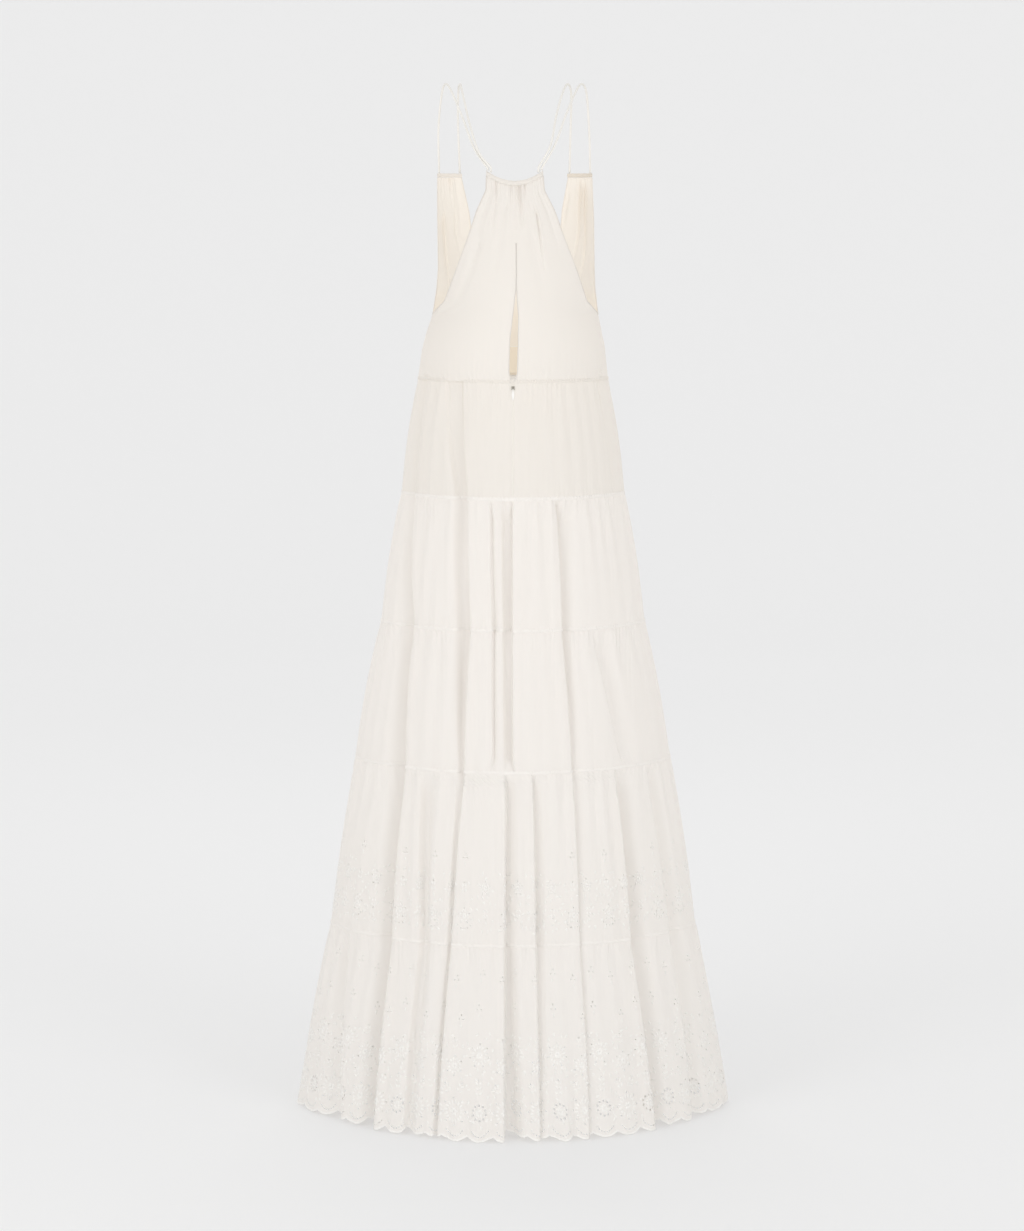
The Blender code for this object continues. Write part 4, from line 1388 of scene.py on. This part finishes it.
def make_bindings(front_trim, neck_trim, waistband):
    edge = float(edge_turn(BACK_ARMHOLE, NECK_END_Z - NECK_BINDING_HEIGHT))
    shares = np.linspace(-1.0, 1.0, NECK_BAND_STEPS)
    high = neck_binding_top(shares)
    low = high - NECK_BINDING_HEIGHT
    neck = band_piece("neck_binding_strip", edge * shares, False, low, high, neck_trim, 0.0002, 3)
    dress_piece(neck, "back_neck_binding")
    panel_top = FRONT_TOP_Z - FRONT_BINDING_HEIGHT
    start, end = (float(edge_turn(edges, panel_top)) for edges in (FRONT_NECK, FRONT_ARMHOLE))
    for word, side, seed in (("left", -1.0, 6), ("right", 1.0, 8)):
        turns = side * np.linspace(start, end, FRONT_BAND_STEPS)
        low, high = panel_top + SEAM_GAP, FRONT_TOP_Z
        strip = band_piece(f"front_{word}_binding_strip", turns, True, low, high, front_trim, 0.0003, seed)
        dress_piece(strip, f"front_top_binding_{word}")
    turns = np.linspace(-math.pi / 2.0, math.pi / 2.0, WAISTBAND_STEPS)
    heights = np.linspace(WAISTBAND_TOP_Z - SEAM_GAP / 2.0, WAIST_Z + SEAM_GAP / 2.0, WAISTBAND_ROWS)
    rows = [figure_points(turns, z, True) for z in heights]
    faces = quads(numbers(WAISTBAND_ROWS, WAISTBAND_STEPS))
    obj = add_mesh("front_waistband_cloth", rows, faces, waistband)
    dress_piece(obj, "front_waistband")


def make_skirt(top_voile, voile, embroidered, thread, seam):
    for number in range(TIERS):
        label = f"tier_{number + 1}"
        if number == 0:
            make_plain_tier(f"{label}_back_left", number, -0.25, 0.0, top_voile)
            make_plain_tier(f"{label}_back_right", number, 0.0, 0.25, top_voile)
            make_plain_tier(f"{label}_front", number, 0.25, 0.75, top_voile)
        elif number < TIERS - 2:
            make_plain_tier(f"{label}_back", number, -0.25, 0.25, voile)
            make_plain_tier(f"{label}_front", number, 0.25, 0.75, voile)
        else:
            pattern = hem_pattern() if number == TIERS - 1 else band_pattern()
            make_cut_tier(f"{label}_back", number, -0.25, 0.25, pattern, embroidered, thread)
            make_cut_tier(f"{label}_front", number, 0.25, 0.75, pattern, embroidered, thread)
        make_seam(number, seam if number else top_voile)


def make_straps(trim):
    straps = (
        ("strap_left_inner", -1.0, False, LEFT_INNER_STRAP),
        ("strap_left_outer", -1.0, True, LEFT_OUTER_STRAP),
        ("strap_right_inner", 1.0, False, RIGHT_INNER_STRAP),
        ("strap_right_outer", 1.0, True, RIGHT_OUTER_STRAP),
    )
    for name, side, outside, middle in straps:
        make_strap(name, side, outside, middle, trim)


def make_stage():
    """A round pale floor that curves up into a pale wall on every side."""
    stage = Shading(
        "backdrop", Base_Color=rgba([STAGE_GREY] * 3), Roughness=0.95, Specular_IOR_Level=0.0,
        Emission_Color=(1.0, 1.0, 1.0, 1.0),
    )
    inputs = {0: stage.place.outputs["Object"], 1: (1.0, 1.0, 0.0)}
    level = stage.add("VectorMath", inputs, operation="MULTIPLY")
    reach = stage.add("VectorMath", {0: level.outputs["Vector"]}, operation="LENGTH")
    # Less glow near the middle paints a shadow on the floor under the dress; more glow far out evens out the
    # wall
    glow = stage.ranged(reach.outputs["Value"], *STAGE_GLOW_AND_SHADOW, *STAGE_REACH)
    stage.set(stage.shader, {"Emission Strength": glow})
    flat = STAGE_RADIUS - STAGE_CURVE
    profile = [(flat - 0.1, FLOOR_Z)]
    for bend in np.linspace(0.0, math.pi / 2.0, STAGE_CURVE_STEPS + 1):
        out, up = STAGE_CURVE * math.sin(bend), STAGE_CURVE * (1.0 - math.cos(bend))
        profile.append((flat + out, FLOOR_Z + up))
    profile.append((STAGE_RADIUS, STAGE_TOP))
    turns = round_angles(STAGE_SIDES)
    points = [(out * math.cos(turn), out * math.sin(turn), z) for out, z in profile for turn in turns]
    corner = numbers(len(profile), STAGE_SIDES)
    faces = [corner[0].tolist()] + quads(closed(corner), True)
    add_mesh("floor_and_wall", points, faces, stage.material)


def make_camera():
    camera = bpy.data.cameras.new("camera")
    camera.lens = LENS
    camera.sensor_width = 36.0
    camera.clip_end = 60.0
    place = (CAMERA_X, -CAMERA_DISTANCE, CAMERA_Z)
    turn = (math.pi / 2.0 - CAMERA_PITCH, 0.0, 0.0)
    bpy.context.scene.camera = add_object("camera", camera, place, turn)


def area_light(name, place, size, power, target, spread=math.pi):
    light = bpy.data.lights.new(name, "AREA")
    light.shape = "RECTANGLE"
    light.size, light.size_y = size
    light.spread = spread
    light.energy = power
    turn = (Vector(target) - Vector(place)).to_track_quat("-Z", "Y").to_euler()
    add_object(name, light, place, turn)


def make_light():
    world = bpy.data.worlds.new("studio")
    world.use_nodes = True
    background = world.node_tree.nodes["Background"]
    background.inputs["Color"].default_value = (1.0, 1.0, 1.0, 1.0)
    background.inputs["Strength"].default_value = WORLD_STRENGTH
    bpy.context.scene.world = world
    area_light("key", (-2.8, -3.2, 0.0), SIDE_LIGHT, 12.0, DRESS_MIDDLE, LIGHT_SPREAD)
    area_light("behind", (-0.2, 2.3, 1.6), (3.0, 1.4), 15.0, (0.0, 0.0, -0.4))
    area_light("fill", (2.8, -3.4, -0.1), SIDE_LIGHT, 11.4, DRESS_MIDDLE, LIGHT_SPREAD)
    scene = bpy.context.scene
    scene.view_settings.view_transform = "Standard"
    scene.view_settings.look = "None"


def main():
    voile = voile_material("ivory_voile", *VOILE, 0.40)
    top_voile = voile_material(
        "top_voile", (0.880, 0.855, 0.820), (0.862, 0.831, 0.791), (0.955, 0.924, 0.880), 0.39
    )
    # The bodice's colour is painted light and shade: darker at its top, which the light from behind lights
    # most, and lighter towards the waist, where less light falls
    bodice = voile_material(
        "bodice_voile", (0.822, 0.790, 0.748), (0.806, 0.772, 0.728), (0.93, 0.892, 0.845), 0.35,
        low=Below(-0.200, -0.370, (0.866, 0.842, 0.810)),
    )
    embroidered = voile_material(
        "embroidered_voile", (0.927, 0.906, 0.881), (0.912, 0.886, 0.856), (0.965, 0.938, 0.903), 0.41
    )
    seam = voile_material("seam_voile", *VOILE, 0.28)
    front_voile = voile_material("front_voile", *FRONT_VOILE, 0.39, inner=FRONT_INNER_PAINTED_SHADE)
    waistband = voile_material("waistband_voile", *FRONT_VOILE, 0.39, inner=WAISTBAND_INNER_PAINTED_SHADE)
    cord = spun_material(
        "ivory_cord", (0.86, 0.835, 0.785), 0.93, 0.8, "Object", TWIST_WAVE, TWIST_BUMP, TWIST_MOTTLE
    )
    thread = spun_material(
        "satin_thread", (0.985, 0.966, 0.932), 0.94, 0.48, "UV", STITCH_WAVE, STITCH_BUMP, STITCH_MOTTLE
    )
    slider = metal_material("zip_slider_metal", (0.40, 0.38, 0.33), 1.0)
    pull = metal_material("zip_pull_metal", (0.91, 0.895, 0.87), 0.3)
    make_stage()
    make_camera()
    make_light()
    make_skirt(top_voile, voile, embroidered, thread, seam)
    make_bodice(bodice, front_voile)
    make_bindings(front_voile, top_voile, waistband)
    make_straps(cord)
    for node, metal in (("zip_slider", slider), ("zip_pull", pull)):
        bpy.data.objects[node].data.materials.clear()
        bpy.data.objects[node].data.materials.append(metal)


main()
